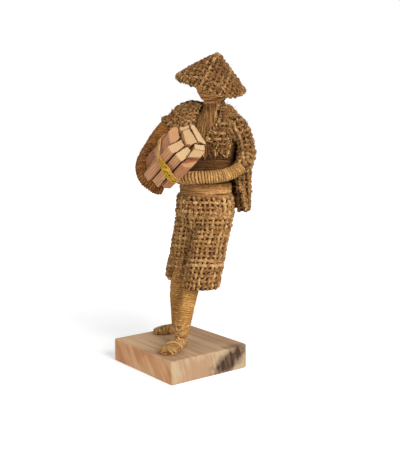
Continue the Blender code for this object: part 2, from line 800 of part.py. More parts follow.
def arm_path(side, bundle):
    """Middle line of an arm, from the side of the chest round to the hand."""
    turn = Torso.turn(SHOULDER_HEIGHT)
    half_width = Torso.halves(SHOULDER_HEIGHT)[0]
    middle = Torso.centre(SHOULDER_HEIGHT) - ahead(turn) * SHOULDER_BACK
    root = middle + across(turn) * (side * (half_width + ARM_ROOT_GAP))
    lateral = across(turn)
    front = ahead(turn)
    points = [root]
    for out, forth, up in LEFT_ARM_BENDS if side > 0.0 else RIGHT_ARM_BENDS:
        points.append(root + (lateral * out + front * forth + Vector((0.0, 0.0, up))) * MM)
    path = smooth_path(points, ARM_SPANS)
    reach = ARM_RADIUS + FIT_GAP
    settled = len(path) // 2
    last = len(path) - 1
    for settle in range(SETTLE_PASSES):
        for index in range(settled, len(path)):
            spot = path[index]
            if side < 0.0:
                spot = bundle.behind(spot, reach)
            else:
                spot = bundle.clear(Torso.clear(spot, reach), reach)
            path[index] = spot
        if settle == SETTLE_PASSES - 1:
            break
        softer = [(path[i - 1] + path[i] * 2.0 + path[i + 1]) / 4.0 for i in range(settled, last)]
        path[settled:last] = softer
    return path


def build_arm(side_name, path, twine):
    """One wound arm, closed over the wire at the hand."""
    count = len(path)
    tips = len(FINGER_SHARES)
    radii = [ARM_RADIUS] * (count - tips) + [share * ARM_RADIUS for share in FINGER_SHARES]
    outer = square_rings(path, radii)
    bore = ARM_WIRE_RADIUS + WIRE_GAP
    inner = square_rings(path[:-tips], [bore] * (count - tips))
    node(f"{side_name}_arm_wrap", tube(outer, inner, blind=True), twine)


def build_arm_wire(right, left, steel):
    """One wire from hand to hand through the chest; returns its clear way there."""
    bent = [*right[-4::-1], *left[:-3]]
    wire("arm_wire", bent, ARM_WIRE_RADIUS, steel)
    return channel("cut_arms", [right[1], right[0], left[0], left[1]], ARM_WIRE_RADIUS)


def leg_at(path, level):
    """Middle of a leg at a level, and its radius there."""
    count = len(path) - 1
    step = next((i for i in range(count) if path[i + 1].z >= level), count - 1)
    share = (level - path[step].z) / (path[step + 1].z - path[step].z)
    share = min(max(share, 0.0), 1.0)
    return lerp(path[step], path[step + 1], share), leg_radius((step + share) / count)


def round_leg(point, path, half_width, half_depth, turn):
    """Middle of a trouser ring, moved level until the leg inside it lies clear of the cloth."""
    middle, radius = leg_at(path, point.z)
    away = Vector((*(middle - point).xy, 0.0))
    if away.length == 0.0:
        return point
    way = away.normalized()
    wide = way.dot(across(turn)) / half_width
    deep = way.dot(ahead(turn)) / half_depth
    room = 1.0 / math.hypot(wide, deep) - radius - LEG_GAP
    return point + way * max(away.length - room, 0.0)


def build_trousers(legs, burlap):
    """Trousers of two panels, each round one leg and half of the seat, sewn in the middle."""
    top = TROUSER_TOP
    lowest = -CROTCH_DROP
    waist = Torso.halves(top, CLOTH_GAP)

    def seat_rings(wall, past):
        """Rings of the seat: wall grows them, past lengthens the open end."""
        rows = (
            (lowest - wall, 0.62),
            (lowest + CROTCH_ROUND - wall, 0.86),
            (0.12 * top, 1.0),
            (0.45 * top, 1.0),
        )
        rings = []
        for height, share in rows:
            halves = (
                share * (SEAT_HALF_WIDTH - CLOTH) + wall,
                share * (SEAT_HALF_DEPTH - CLOTH) + wall,
            )
            rings.append(level_ring(Torso.centre(height), *halves, Torso.turn(height)))
        for height in (WAISTBAND_SHARE * top, top + past):
            halves = (waist[0] + wall, waist[1] + wall)
            grow = max((top - height) * WAIST_TAPER, 0.0)
            sized = (halves[0] + grow, halves[1] + grow)
            rings.append(level_ring(Torso.centre(height), *sized, Torso.turn(height)))
        return rings

    def leg_rings(side, hem, path, wall, past):
        """Rings of one trouser leg, from inside the seat to its hem, clear of the leg in it."""
        start = (LEG_TOP_SHARE + LEG_TOP_STEP * side) * top - wall / 2.0
        hip = Torso.centre(start) + across(HIP_TURN) * (side * LEG_SPREAD * SEAT_HALF_WIDTH)
        foot = Vector((hem[0], hem[1], BASE_THICKNESS + hem[2]))
        rings = []
        for share in (0.0, 0.25, 0.5, 0.75, 1.0):
            hollow_width = lerp(LEG_HALF_WIDTH, HEM_RADIUS, share) - CLOTH
            hollow_depth = lerp(SEAT_HALF_DEPTH - THIGH_TAPER, HEM_RADIUS, share) - CLOTH
            turn = lerp(HIP_TURN, 0.0, share)
            point = round_leg(lerp(hip, foot, share), path, hollow_width, hollow_depth, turn)
            if share == 1.0:
                point = point - Vector((0.0, 0.0, past))
            rings.append(level_ring(point, hollow_width + wall, hollow_depth + wall, turn))
        return rings

    hip_centre = Torso.centre(0.0)
    left_foot = Vector((LEFT_HEM[0], LEFT_HEM[1], BASE_THICKNESS + LEFT_HEM[2]))
    right_foot = Vector((RIGHT_HEM[0], RIGHT_HEM[1], BASE_THICKNESS + RIGHT_HEM[2]))
    down = (left_foot + right_foot) / 2.0 - hip_centre
    normal = down.cross(ahead(HIP_TURN) + ahead(SEAM_TURN)).normalized()
    if normal.x < 0.0:
        normal = -normal
    inner = [helper("hollow_seat", solid(seat_rings(0.0, CLOTH)))]
    joined = []
    for name, side, hem in (("left", 1.0, LEFT_HEM), ("right", -1.0, RIGHT_HEM)):
        path = legs[name]
        joined.append(helper(f"join_{name}_leg", solid(leg_rings(side, hem, path, CLOTH, 0.0))))
        inner.append(helper(f"hollow_{name}_leg", solid(leg_rings(side, hem, path, 0.0, CLOTH))))
    for name, side in (("left", 1.0), ("right", -1.0)):
        made = node(f"trousers_{name}_panel", solid(seat_rings(CLOTH, 0.0)), burlap)
        for tool in joined:
            boolean(made, tool, "UNION")
        for tool in inner:
            boolean(made, tool)
        bm = bmesh.new()
        bmesh.ops.create_cube(bm, size=2.0 * HIP_HEIGHT)
        turned = normal.to_track_quat("X", "Z").to_matrix().to_4x4()
        away = Matrix.Translation(hip_centre - normal * (side * (HIP_HEIGHT - SEAM_GAP / 2.0)))
        bmesh.ops.transform(bm, matrix=away @ turned, verts=bm.verts[:])
        boolean(made, helper(f"cut_beside_{name}_panel", bm))


def build_sash(fibre):
    """A band of wound strands round the waist, on top of the trousers."""
    low = TROUSER_TOP + FIT_GAP
    heights = (low, low + SASH_WIDTH / 2.0, low + SASH_WIDTH)
    inner = [Torso.ring(height, FIT_GAP) for height in heights]
    outer = [
        Torso.ring(height, FIT_GAP + SASH_THICKNESS * share)
        for height, share in zip(heights, (0.8, 1.0, 0.8))
    ]
    node("waist_sash", tube(outer, inner, SIDES), fibre)


def jacket_spot(height, angle, out):
    """Point on the inside of the jacket, which leaves the body over the shoulders."""
    half_width, half_depth = Torso.halves(height, CLOTH_GAP)
    waistband_flare = (1.0 - WAISTBAND_SHARE) * TROUSER_TOP * WAIST_TAPER
    over_waistband = CLOTH_GAP + CLOTH + waistband_flare + FIT_GAP
    waistband = Torso.halves(TROUSER_TOP, over_waistband)
    sash_top = TROUSER_TOP + FIT_GAP + SASH_WIDTH
    over_sash = SASH_THICKNESS + FIT_GAP + CLOTH_GAP
    wide_rows = (
        (TROUSER_TOP, max(SEAT_HALF_WIDTH + CLOTH_GAP, waistband[0])),
        (sash_top + CLOTH, WAIST_HALF_WIDTH + over_sash),
        (JACKET_ARMPIT, 0.0),
        (JACKET_SHOULDER, CHEST_HALF_WIDTH + CLOTH_GAP),
        (JACKET_TOP, COLLAR_HALF_WIDTH),
    )
    deep_rows = (
        (TROUSER_TOP, max(SEAT_HALF_DEPTH + CLOTH_GAP, waistband[1])),
        (sash_top + CLOTH, WAIST_HALF_DEPTH + over_sash),
        (JACKET_ARMPIT, 0.0),
        (JACKET_SHOULDER, CHEST_HALF_DEPTH + CLOTH_GAP),
        (JACKET_TOP, COLLAR_HALF_DEPTH),
    )
    half_width = max(half_width, eased(wide_rows, height)) + out
    half_depth = max(half_depth, eased(deep_rows, height)) + out
    turned = math.radians(angle)
    around = Vector((math.cos(turned), math.sin(turned), 0.0))
    return level_ring(Torso.centre(height), half_width, half_depth, Torso.turn(height)) @ around


def cloth_panel(name, low, high, edges, rows, columns, burlap, hang=None):
    """A panel of cloth laid on the body between two heights and two edges."""
    bm = bmesh.new()
    bmesh.ops.create_grid(bm, x_segments=columns, y_segments=rows, size=0.5)
    for vert in bm.verts:
        height = lerp(low, high, vert.co.y + 0.5)
        start, end = edges(height)
        angle = lerp(start, end, vert.co.x + 0.5)
        vert.co = jacket_spot(height, angle, hang(height, angle) if hang else 0.0)
    made = node(name, bm, burlap)
    face = made.data.polygons[0]
    away = face.center - Torso.centre(face.center.z - hip_level(0.0))
    if face.normal.dot(Vector((away.x, away.y, 0.0))) < 0.0:
        made.data.flip_normals()
    wall = made.modifiers.new("cloth", "SOLIDIFY")
    wall.thickness = CLOTH
    wall.offset = 1.0
    wall.use_even_offset = False


def build_jacket(left_path, right_path, burlap):
    """Short jacket: a back, two fronts cut open over the chest, and two sleeves."""

    trim_rows = (
        (JACKET_ARMPIT - ARMHOLE_RISE, SIDE_SEAM_ANGLE),
        (JACKET_ARMPIT, ARMHOLE_ANGLE),
        (SHOULDER_HEIGHT + ARMHOLE_TOP, ARMHOLE_ANGLE),
        (SHOULDER_HEIGHT + ARMHOLE_TOP + ARMHOLE_RISE, COLLAR_SEAM_ANGLE),
    )

    def back_edges(height):
        """The back reaches round to the sides, except where the arms pass."""
        trim = eased(trim_rows, height)
        return 180.0 + trim, 360.0 - trim

    def left_edges(height):
        """The left front runs to a point over the chest, and slants away above and below it."""
        side = eased(trim_rows, height)
        if height < LAPEL_TIP:
            share = (height - LAPEL_FOOT) / (LAPEL_TIP - LAPEL_FOOT)
            return side, lerp(LAPEL_FOOT_ANGLE, LAPEL_TIP_ANGLE, share)
        share = (height - LAPEL_TIP) / (JACKET_TOP - LAPEL_TIP)
        return side, lerp(LAPEL_TIP_ANGLE, LAPEL_TOP_ANGLE, share)

    def right_edges(height):
        """The right front is folded back towards the shoulder."""
        return RIGHT_FRONT_ANGLE, 180.0 - eased(trim_rows, height)

    def hang(height, angle):
        """How far the back stands off the body towards its hem, most on the left."""
        drop = max((JACKET_ARMPIT - height) / (JACKET_ARMPIT - JACKET_HEM), 0.0)
        side = eased(((FLARE_FROM_ANGLE, 0.0), (FLARE_FULL_ANGLE, 1.0)), angle)
        return JACKET_FLARE * drop**1.5 * side

    cloth_panel("jacket_back", JACKET_HEM, JACKET_TOP, back_edges, 12, 14, burlap, hang)
    cloth_panel("jacket_left_front", LAPEL_FOOT, JACKET_TOP, left_edges, 9, 6, burlap)
    cloth_panel("jacket_right_front", RIGHT_FRONT_FOOT, JACKET_TOP, right_edges, 8, 5, burlap)
    for name, path, length, flare in (
        ("left", left_path, LEFT_SLEEVE_LENGTH, SLEEVE_FLARE),
        ("right", right_path, RIGHT_SLEEVE_LENGTH, RIGHT_SLEEVE_FLARE),
    ):
        runs = [0.0]
        for before, point in zip(path, path[1:]):
            runs.append(runs[-1] + (point - before).length)
        covered = [i for i, run in enumerate(runs) if SLEEVE_START <= run <= length]
        shares = [max(run - SLEEVE_START, 0.0) / (length - SLEEVE_START) for run in runs]
        hollow = [ARM_RADIUS + SLEEVE_GAP + flare * min(share, 1.0) for share in shares]
        inner = square_rings(path, hollow)
        outer = square_rings(path, [radius + CLOTH for radius in hollow])
        made = tube([outer[i] for i in covered], [inner[i] for i in covered])
        node(f"jacket_{name}_sleeve", made, burlap)


def build_sticks(bundle, wood, dark_wood):
    """Each stick a split bar of its own section, some thinner to the rear, with its ends out of line."""
    for (name, (front, rear), share, _), section in zip(STICKS, bundle.sections):
        bm = bmesh.new()
        face = bm.faces.new([bm.verts.new(bundle.spot(corner, front * MM)) for corner in section])
        drawn = bmesh.ops.extrude_face_region(bm, geom=[face])["geom"]
        moved = [item for item in drawn if isinstance(item, bmesh.types.BMVert)]
        bmesh.ops.translate(bm, vec=bundle.axis * ((rear - front) * MM), verts=moved)
        stays = Matrix.Translation(-bundle.spot(section[0], rear * MM))
        bmesh.ops.scale(bm, vec=(share, share, share), space=stays, verts=moved)
        bmesh.ops.recalc_face_normals(bm, faces=bm.faces[:])
        bmesh.ops.bevel(
            bm,
            geom=bm.edges[:],
            offset=STICK_EDGE,
            segments=1,
            profile=0.5,
            affect="EDGES",
            clamp_overlap=True,
            material=-1,
        )
        node(name, bm, dark_wood if name == "stick_dark" else wood, smooth=False)


def build_tie(bundle, raffia):
    """A flat loop of raffia round the sticks, and its knot."""
    bm = bmesh.new()
    inner = bundle.hull(FIT_GAP)
    low = TIE_SHIFT - TIE_WIDTH / 2.0
    corners = [bm.verts.new(bundle.spot(corner, low)) for corner in inner]
    rim = [bm.verts.new(bundle.spot(corner, low)) for corner in bundle.tied]
    count = len(corners)
    band = []
    for i in range(count):
        after = (i + 1) % count
        band.append(bm.faces.new((corners[i], corners[after], rim[after], rim[i])))
    drawn = bmesh.ops.extrude_face_region(bm, geom=band)["geom"]
    moved = [item for item in drawn if isinstance(item, bmesh.types.BMVert)]
    bmesh.ops.translate(bm, vec=bundle.axis * TIE_WIDTH, verts=moved)
    node("bundle_tie", bm, raffia, smooth=False)
    toward = Vector((math.cos(math.radians(KNOT_TURN)), math.sin(math.radians(KNOT_TURN))))
    seat = toward * bundle.leave(toward, FIT_GAP + KNOT_RADIUS)
    bm = bmesh.new()
    bmesh.ops.create_uvsphere(bm, u_segments=12, v_segments=8, radius=KNOT_RADIUS)
    bmesh.ops.translate(bm, vec=bundle.spot(seat, TIE_SHIFT), verts=bm.verts[:])
    node("bundle_knot", bm, raffia)


def build():
    """Make every piece of the figurine."""
    clear_scene()
    pale_wood = surface("pale_wood", (0.62, 0.42, 0.26), 0.6)
    split_wood = surface("split_wood", (0.72, 0.50, 0.33), 0.6)
    dark_wood = surface("dark_wood", (0.36, 0.16, 0.09), 0.6)
    twine = surface("jute_twine", (0.47, 0.30, 0.14), 0.85)
    fibre = surface("jute_fibre", (0.36, 0.22, 0.10), 0.85)
    burlap = surface("burlap", (0.45, 0.29, 0.14), 0.9)
    raffia = surface("raffia", (0.55, 0.42, 0.10), 0.7)
    steel = surface("steel_wire", (0.45, 0.45, 0.46), 0.35, 1.0)

    bundle = Bundle()
    left_arm = arm_path(1.0, bundle)
    right_arm = arm_path(-1.0, bundle)
    spine = spine_path()
    wire("spine_wire", spine, SPINE_WIRE_RADIUS, steel)
    spine_way = channel("cut_spine", spine, SPINE_WIRE_RADIUS)
    foot_ways = []
    legs = {}
    torso_ways = [spine_way, build_arm_wire(right_arm, left_arm, steel)]
    for name, side, ankle, knee, toe in (
        ("left", 1.0, LEFT_ANKLE, LEFT_KNEE, LEFT_TOE),
        ("right", -1.0, RIGHT_ANKLE, RIGHT_KNEE, RIGHT_TOE),
    ):
        below, into, legs[name] = build_leg(name, side, ankle, knee, twine, steel)
        foot_ways.append(below)
        torso_ways.append(into)
        build_foot(name, ankle, toe, below, twine)
    build_base(pale_wood, foot_ways)
    build_torso(fibre, torso_ways)
    build_neck_and_head(fibre, spine_way)
    build_hat(burlap)
    build_arm("left", left_arm, twine)
    build_arm("right", right_arm, twine)
    build_trousers(legs, burlap)
    build_sash(fibre)
    build_jacket(left_arm, right_arm, burlap)
    build_sticks(bundle, split_wood, dark_wood)
    build_tie(bundle, raffia)


build()
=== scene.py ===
"""Looks of a jute craft figurine: a farmer in burlap who walks with a bundle of split sticks."""

import bisect
import logging
import random
from dataclasses import dataclass, field
from enum import Enum
from math import atan2, ceil, cos, exp, floor, hypot, pi, radians, sin, sqrt, tau
from typing import Optional, Sequence, Union

import bmesh
import bpy
import numpy as np
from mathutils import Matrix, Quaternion, Vector, noise
from mathutils.bvhtree import BVHTree


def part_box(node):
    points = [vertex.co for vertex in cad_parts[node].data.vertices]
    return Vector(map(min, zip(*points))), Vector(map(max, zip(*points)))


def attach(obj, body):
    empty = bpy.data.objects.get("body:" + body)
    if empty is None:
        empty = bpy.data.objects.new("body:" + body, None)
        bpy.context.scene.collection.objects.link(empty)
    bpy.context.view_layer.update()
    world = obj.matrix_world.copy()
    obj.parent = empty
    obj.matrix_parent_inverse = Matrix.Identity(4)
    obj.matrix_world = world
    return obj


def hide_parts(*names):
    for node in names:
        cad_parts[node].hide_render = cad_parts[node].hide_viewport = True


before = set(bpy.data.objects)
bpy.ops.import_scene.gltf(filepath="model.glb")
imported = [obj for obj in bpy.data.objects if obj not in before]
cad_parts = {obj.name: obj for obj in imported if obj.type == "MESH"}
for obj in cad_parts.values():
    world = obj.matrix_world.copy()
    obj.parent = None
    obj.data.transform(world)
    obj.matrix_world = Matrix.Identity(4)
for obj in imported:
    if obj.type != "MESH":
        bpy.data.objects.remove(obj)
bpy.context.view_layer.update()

MM = 0.001
BODY = "root"
UP = Vector((0.0, 0.0, 1.0))
YARN_MAP = "yarn"
CLOTH_MAP = "cloth"
BAKE_MAP = "OFBake"
TONE = "tone"
CLEFT = "cleft"
NOISE_SEED = 23
NODE_MERGE = 0.001 * MM
STRAND_MERGE = 0.0005 * MM
CLOTH_MERGE = 0.05 * MM
LOG = logging.getLogger("figurine")

Colour = tuple[float, float, float, float]
Pair = tuple[float, float]
Triple = tuple[float, float, float]
Outline = tuple[Pair, ...]
Tree = bpy.types.NodeTree
Node = bpy.types.Node
Socket = bpy.types.NodeSocket
Material = bpy.types.Material
Piece = bpy.types.Object
Feed = Union[Socket, float, tuple]


class Slot(Enum):
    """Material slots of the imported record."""

    SPLIT_WOOD = "split_wood"
    DARK_WOOD = "dark_wood"
    TWINE = "jute_twine"
    FIBRE = "jute_fibre"
    BURLAP = "burlap"
    RAFFIA = "raffia"


class Held(Enum):
    """Ways in which a piece of cloth is held."""

    DRAPED = "draped"
    HUNG = "hung"


def srgb(red: int, green: int, blue: int) -> Colour:
    """Linear colour of an 8-bit screen colour."""
    linear = []
    for level in (red, green, blue):
        share = level / 255.0
        linear.append(share / 12.92 if share <= 0.04045 else ((share + 0.055) / 1.055) ** 2.4)
    return (linear[0], linear[1], linear[2], 1.0)


def clamp(value: float, low: float = 0.0, high: float = 1.0) -> float:
    """The value, kept between two limits."""
    return min(max(value, low), high)


def toward(first: Vector, second: Vector, turn: float) -> Vector:
    """Direction at a turn from the first direction to the second."""
    return first * cos(turn) + second * sin(turn)


def level_way(turn: float) -> Vector:
    """Level direction at a turn from +X."""
    return Vector((cos(turn), sin(turn), 0.0))


def mean(points: Sequence[Vector]) -> Vector:
    """Middle of some points."""
    return sum(points, Vector()) / len(points)


def softened(values: np.ndarray) -> np.ndarray:
    """The inner values, each mixed with its two neighbours."""
    return (values[:-2] + 2.0 * values[1:-1] + values[2:]) / 4.0


def spot_mm(x: float, y: float, z: float) -> Vector:
    """Dataclass field of a place given in mm."""
    return field(default_factory=lambda: Vector((x, y, z)) * MM)


def way_field(x: float, y: float, z: float) -> Vector:
    """Dataclass field of a direction."""
    return field(default_factory=lambda: Vector((x, y, z)))


def add_to_scene(name: str, data: bpy.types.ID) -> Piece:
    """A new object of the scene that shows the data."""
    made = bpy.data.objects.new(name, data)
    bpy.context.scene.collection.objects.link(made)
    return made


def piece_of(name: str, bm: bmesh.types.BMesh, *materials: Material) -> Piece:
    """Makes a shape a piece of the scene.

    Args:
        name: Name of the piece.
        bm: Its shape, which is freed.
        *materials: Its materials.

    Returns:
        The piece.
    """
    mesh = bpy.data.meshes.new(name)
    bm.to_mesh(mesh)
    bm.free()
    mesh.materials.clear()
    for material in materials:
        mesh.materials.append(material)
    return add_to_scene(name, mesh)


def merged_copy(node: str) -> bmesh.types.BMesh:
    """Copy of a CAD node's shape, its doubled corners merged.

    Args:
        node: Name of the CAD node.

    Returns:
        The shape.
    """
    bm = bmesh.new()
    bm.from_mesh(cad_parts[node].data)
    bmesh.ops.remove_doubles(bm, verts=bm.verts, dist=NODE_MERGE)
    return bm


def put(tree: Tree, kind: str, feeds: Optional[dict] = None, **settings: object) -> Node:
    """Adds a node, sets it and feeds its sockets.

    Args:
        tree: Node tree of a material, world or group.
        kind: Node type, without its ShaderNode prefix.
        feeds: What goes into each input, a socket or a constant.
        **settings: Properties of the node.

    Returns:
        The new node.
    """
    node = tree.nodes.new(kind if kind.startswith("NodeGroup") else "ShaderNode" + kind)
    for name, value in settings.items():
        setattr(node, name, value)
    for name, value in (feeds or {}).items():
        if isinstance(value, Socket):
            tree.links.new(value, node.inputs[name])
        else:
            node.inputs[name].default_value = value
    return node


def reckon(tree: Tree, operation: str, *values: Feed) -> Socket:
    """Output of a Math node on the values given."""
    return put(tree, "Math", dict(enumerate(values)), operation=operation).outputs[0]


def weigh(tree: Tree, first: Feed, first_share: float, second: Feed, second_share: float) -> Socket:
    """Sum of two values, each times its share."""
    return reckon(tree, "MULTIPLY_ADD", first, first_share, reckon(tree, "MULTIPLY", second, second_share))


def measure(tree: Tree, operation: str, *vectors: Feed) -> Socket:
    """Number that a Vector Math node gives."""
    return put(tree, "VectorMath", dict(enumerate(vectors)), operation=operation).outputs["Value"]


def shift(tree: Tree, operation: str, *vectors: Feed) -> Socket:
    """Vector that a Vector Math node gives."""
    return put(tree, "VectorMath", dict(enumerate(vectors)), operation=operation).outputs["Vector"]


def combine(tree: Tree, *values: Feed) -> Socket:
    """Vector of three values."""
    return put(tree, "CombineXYZ", dict(zip("XYZ", values))).outputs[0]


def turned_place(tree: Tree, place: Socket, turns: Triple) -> Socket:
    """The place, turned about the three axes."""
    return put(tree, "Mapping", {"Vector": place, "Rotation": turns}).outputs[0]


def speckle(
    tree: Tree, place: Socket, scale: float, detail: float, rough: float = 0.5, bent: float = 0.0
) -> Socket:
    """Value of a Noise node at a place."""
    feeds = {"Vector": place, "Scale": scale, "Detail": detail, "Roughness": rough, "Distortion": bent}
    return put(tree, "TexNoise", feeds).outputs[0]


def mapped(
    tree: Tree, value: Socket, low: float, high: float, to_low: float = 0.0, to_high: float = 1.0
) -> Socket:
    """Value of a Map Range node, to_low at low and to_high at high."""
    feeds = {"Value": value, "From Min": low, "From Max": high, "To Min": to_low, "To Max": to_high}
    return put(tree, "MapRange", feeds).outputs[0]


def ramp(tree: Tree, factor: Socket, stops: Sequence[tuple[float, Colour]]) -> Socket:
    """Colour of a ramp through the stops.

    Args:
        tree: Node tree to add to.
        factor: Where on the ramp to read.
        stops: Places from 0 to 1 and their colours.

    Returns:
        The colour socket.
    """
    node = put(tree, "ValToRGB", {"Fac": factor})
    marks = node.color_ramp.elements
    while len(marks) < len(stops):
        marks.new(0.5)
    for mark, (place, colour) in zip(marks, stops):
        mark.position = place
        mark.color = colour
    return node.outputs["Color"]


def blend_colours(tree: Tree, factor: Feed, first: Feed, second: Feed) -> Socket:
    """Colour between two colours, by the share of the second."""
    return put(tree, "Mix", {0: factor, 6: first, 7: second}, data_type="RGBA").outputs[2]


def new_group(name: str, inputs: dict[str, str], outputs: Sequence[str]) -> tuple[Tree, Node, Node]:
    """Starts a shader node group.

    Args:
        name: Name of the group.
        inputs: Names and kinds (Float, Vector) of its inputs.
        outputs: Names of its outputs, which are values.

    Returns:
        The group's tree, its input node and its output node.
    """
    group = bpy.data.node_groups.new(name, "ShaderNodeTree")
    for way, sockets in (("INPUT", inputs), ("OUTPUT", dict.fromkeys(outputs, "Float"))):
        for label, kind in sockets.items():
            group.interface.new_socket(name=label, in_out=way, socket_type="NodeSocket" + kind)
    return group, put(group, "NodeGroupInput"), put(group, "NodeGroupOutput")


def fibre_group() -> Tree:
    """Group of the fine streaks and shade changes of plant fibre along a strand.

    Returns:
        The group, built on its first use.
    """
    name = "plant_fibre"
    if name in bpy.data.node_groups:
        return bpy.data.node_groups[name]
    strand_step, drift_step = 57.0, 3.7
    streak_rate, twist_rate, streaks_round = 330.0, 100.0, 9.0
    drift_rate, drift_round = 38.0, 0.8
    streak_share, drift_share, tone_share, darker = 1.3, 0.5, 0.24, 0.52
    group, given, out = new_group(
        name, {"Along": "Float", "Around": "Float", "Tone": "Float"}, ("Shade", "Height")
    )
    along, around, tone = given.outputs["Along"], given.outputs["Around"], given.outputs["Tone"]
    layer = reckon(group, "MULTIPLY", tone, strand_step)
    twisted = reckon(group, "MULTIPLY_ADD", along, twist_rate, around)
    streak_place = combine(
        group,
        reckon(group, "MULTIPLY", along, streak_rate),
        reckon(group, "MULTIPLY", twisted, streaks_round),
        layer,
    )
    streak = speckle(group, streak_place, 1.0, 4.0, 0.62)
    drift_place = combine(
        group,
        reckon(group, "MULTIPLY", along, drift_rate),
        reckon(group, "MULTIPLY", around, drift_round),
        reckon(group, "ADD", layer, drift_step),
    )
    mixed = weigh(group, streak, streak_share, speckle(group, drift_place, 1.0, 2.0), drift_share)
    toned = reckon(group, "MULTIPLY_ADD", tone, tone_share, mixed)
    group.links.new(reckon(group, "SUBTRACT", toned, darker), out.inputs["Shade"])
    group.links.new(streak, out.inputs["Height"])
    return group


def grain_group() -> Tree:
    """Group of year rings and long fibre of wood, its length along X.

    Returns:
        The group, built on its first use.
    """
    name = "wood_grain"
    if name in bpy.data.node_groups:
        return bpy.data.node_groups[name]
    sway_rates, fibre_rates = (14.0, 60.0, 60.0), (55.0, 1300.0, 1300.0)
    blotch_rate, ring_edge = 55.0, 2.2
    group, given, out = new_group(
        name,
        {"Vector": "Vector", "Ring Pitch": "Float", "Waviness": "Float"},
        ("Ring", "Fibre", "Blotch"),
    )
    place = given.outputs["Vector"]
    split = put(group, "SeparateXYZ", {0: place}).outputs
    slow, fine = [
        combine(group, *(reckon(group, "MULTIPLY", part, rate) for part, rate in zip(split, rates)))
        for rates in (sway_rates, fibre_rates)
    ]
    squares = [reckon(group, "POWER", split[way], 2.0) for way in (1, 2)]
    distance = reckon(group, "SQRT", reckon(group, "ADD", *squares))
    rings = reckon(group, "DIVIDE", distance, given.outputs["Ring Pitch"])
    sway = reckon(group, "MULTIPLY", speckle(group, slow, 1.0, 3.0), given.outputs["Waviness"])
    saw = reckon(group, "FRACT", reckon(group, "ADD", rings, sway))
    for label, value in (
        ("Ring", reckon(group, "POWER", saw, ring_edge)),
        ("Fibre", speckle(group, fine, 1.0, 4.0, 0.6)),
        ("Blotch", speckle(group, place, blotch_rate, 3.0)),
    ):
        group.links.new(value, out.inputs[label])
    return group


def new_material(name: str, constants: dict[str, Feed]) -> tuple[Material, Tree, Node]:
    """Starts a material.

    Args:
        name: Name of the material.
        constants: Inputs of its shader that are the same everywhere.

    Returns:
        The material, its node tree and its Principled shader.
    """
    material = bpy.data.materials.new(name)
    material.use_nodes = True
    tree = material.node_tree
    shader = tree.nodes["Principled BSDF"]
    for label, value in constants.items():
        shader.inputs[label].default_value = value
    return material, tree, shader


def coat(tree: Tree, shader: Node, colour: Socket, height: Socket, bump: float, relief: float) -> None:
    """Gives a shader its colour and its relief.

    Args:
        tree: Node tree of the material.
        shader: Its Principled shader.
        colour: Colour over the surface.
        height: Height over the surface.
        bump: How strongly the height shows.
        relief: Depth of the relief.
    """
    tree.links.new(colour, shader.inputs["Base Color"])
    bent = put(tree, "Bump", {"Strength": bump, "Distance": relief, "Height": height})
    tree.links.new(bent.outputs[0], shader.inputs["Normal"])


@dataclass(frozen=True)
class StrandFinish:
    """Finish of spun or loose plant fibre, from its hollows to its lit side."""

    name: str
    dark: Colour
    middle: Colour
    light: Colour
    bump: float = 0.6
    grip: float = 0.9
    gloss: float = 0.12
    fuzz: float = 0.04
    relief: float = 0.4 * MM
    stops: Triple = (0.18, 0.5, 0.86)

    def material(self) -> Material:
        """The material, built on its first use.

        Returns:
            The material of this finish.
        """
        if self.name in bpy.data.materials:
            return bpy.data.materials[self.name]
        constants = {"Specular IOR Level": self.gloss, "Sheen Weight": self.fuzz, "Roughness": self.grip}
        material, tree, shader = new_material(self.name, constants)
        place = put(tree, "SeparateXYZ", {0: put(tree, "UVMap", uv_map=YARN_MAP).outputs[0]}).outputs
        tone = put(tree, "Attribute", attribute_name=TONE).outputs["Fac"]
        feeds = {"Along": place[0], "Around": place[1], "Tone": tone}
        fibre = put(tree, "Group", feeds, node_tree=fibre_group())
        colours = (self.dark, self.middle, self.light)
        colour = ramp(tree, fibre.outputs["Shade"], tuple(zip(self.stops, colours)))
        coat(tree, shader, colour, fibre.outputs["Height"], self.bump, self.relief)
        return material


@dataclass(frozen=True)
class BackingFinish:
    """Finish of thin matted fibre; dark under the burlap, it is painted shade in the holes between the yarns.
    """

    name: str
    dark: Colour
    light: Colour
    gloss: float = 0.1
    line_rate: float = 420.0
    line_bend: float = 2.5
    bump: float = 0.5
    relief: float = 0.3 * MM

    def material(self) -> Material:
        """The material, built on its first use.

        Returns:
            The material of this finish.
        """
        if self.name in bpy.data.materials:
            return bpy.data.materials[self.name]
        constants = {"Roughness": 1.0, "Specular IOR Level": self.gloss}
        material, tree, shader = new_material(self.name, constants)
        place = put(tree, "UVMap", uv_map=CLOTH_MAP).outputs[0]
        feeds = {"Vector": place, "Scale": self.line_rate, "Distortion": self.line_bend, "Detail": 2.0}
        lines = [put(tree, "TexWave", feeds, bands_direction=way).outputs["Fac"] for way in ("X", "Y")]
        woven = reckon(tree, "MAXIMUM", *lines)
        coat(tree, shader, blend_colours(tree, woven, self.dark, self.light), woven, self.bump, self.relief)
        return material


@dataclass(frozen=True)
class StickTint:
    """Colours of one stick: its sides, their streaks and its ends."""

    side: Colour
    streak: Colour
    end: Colour


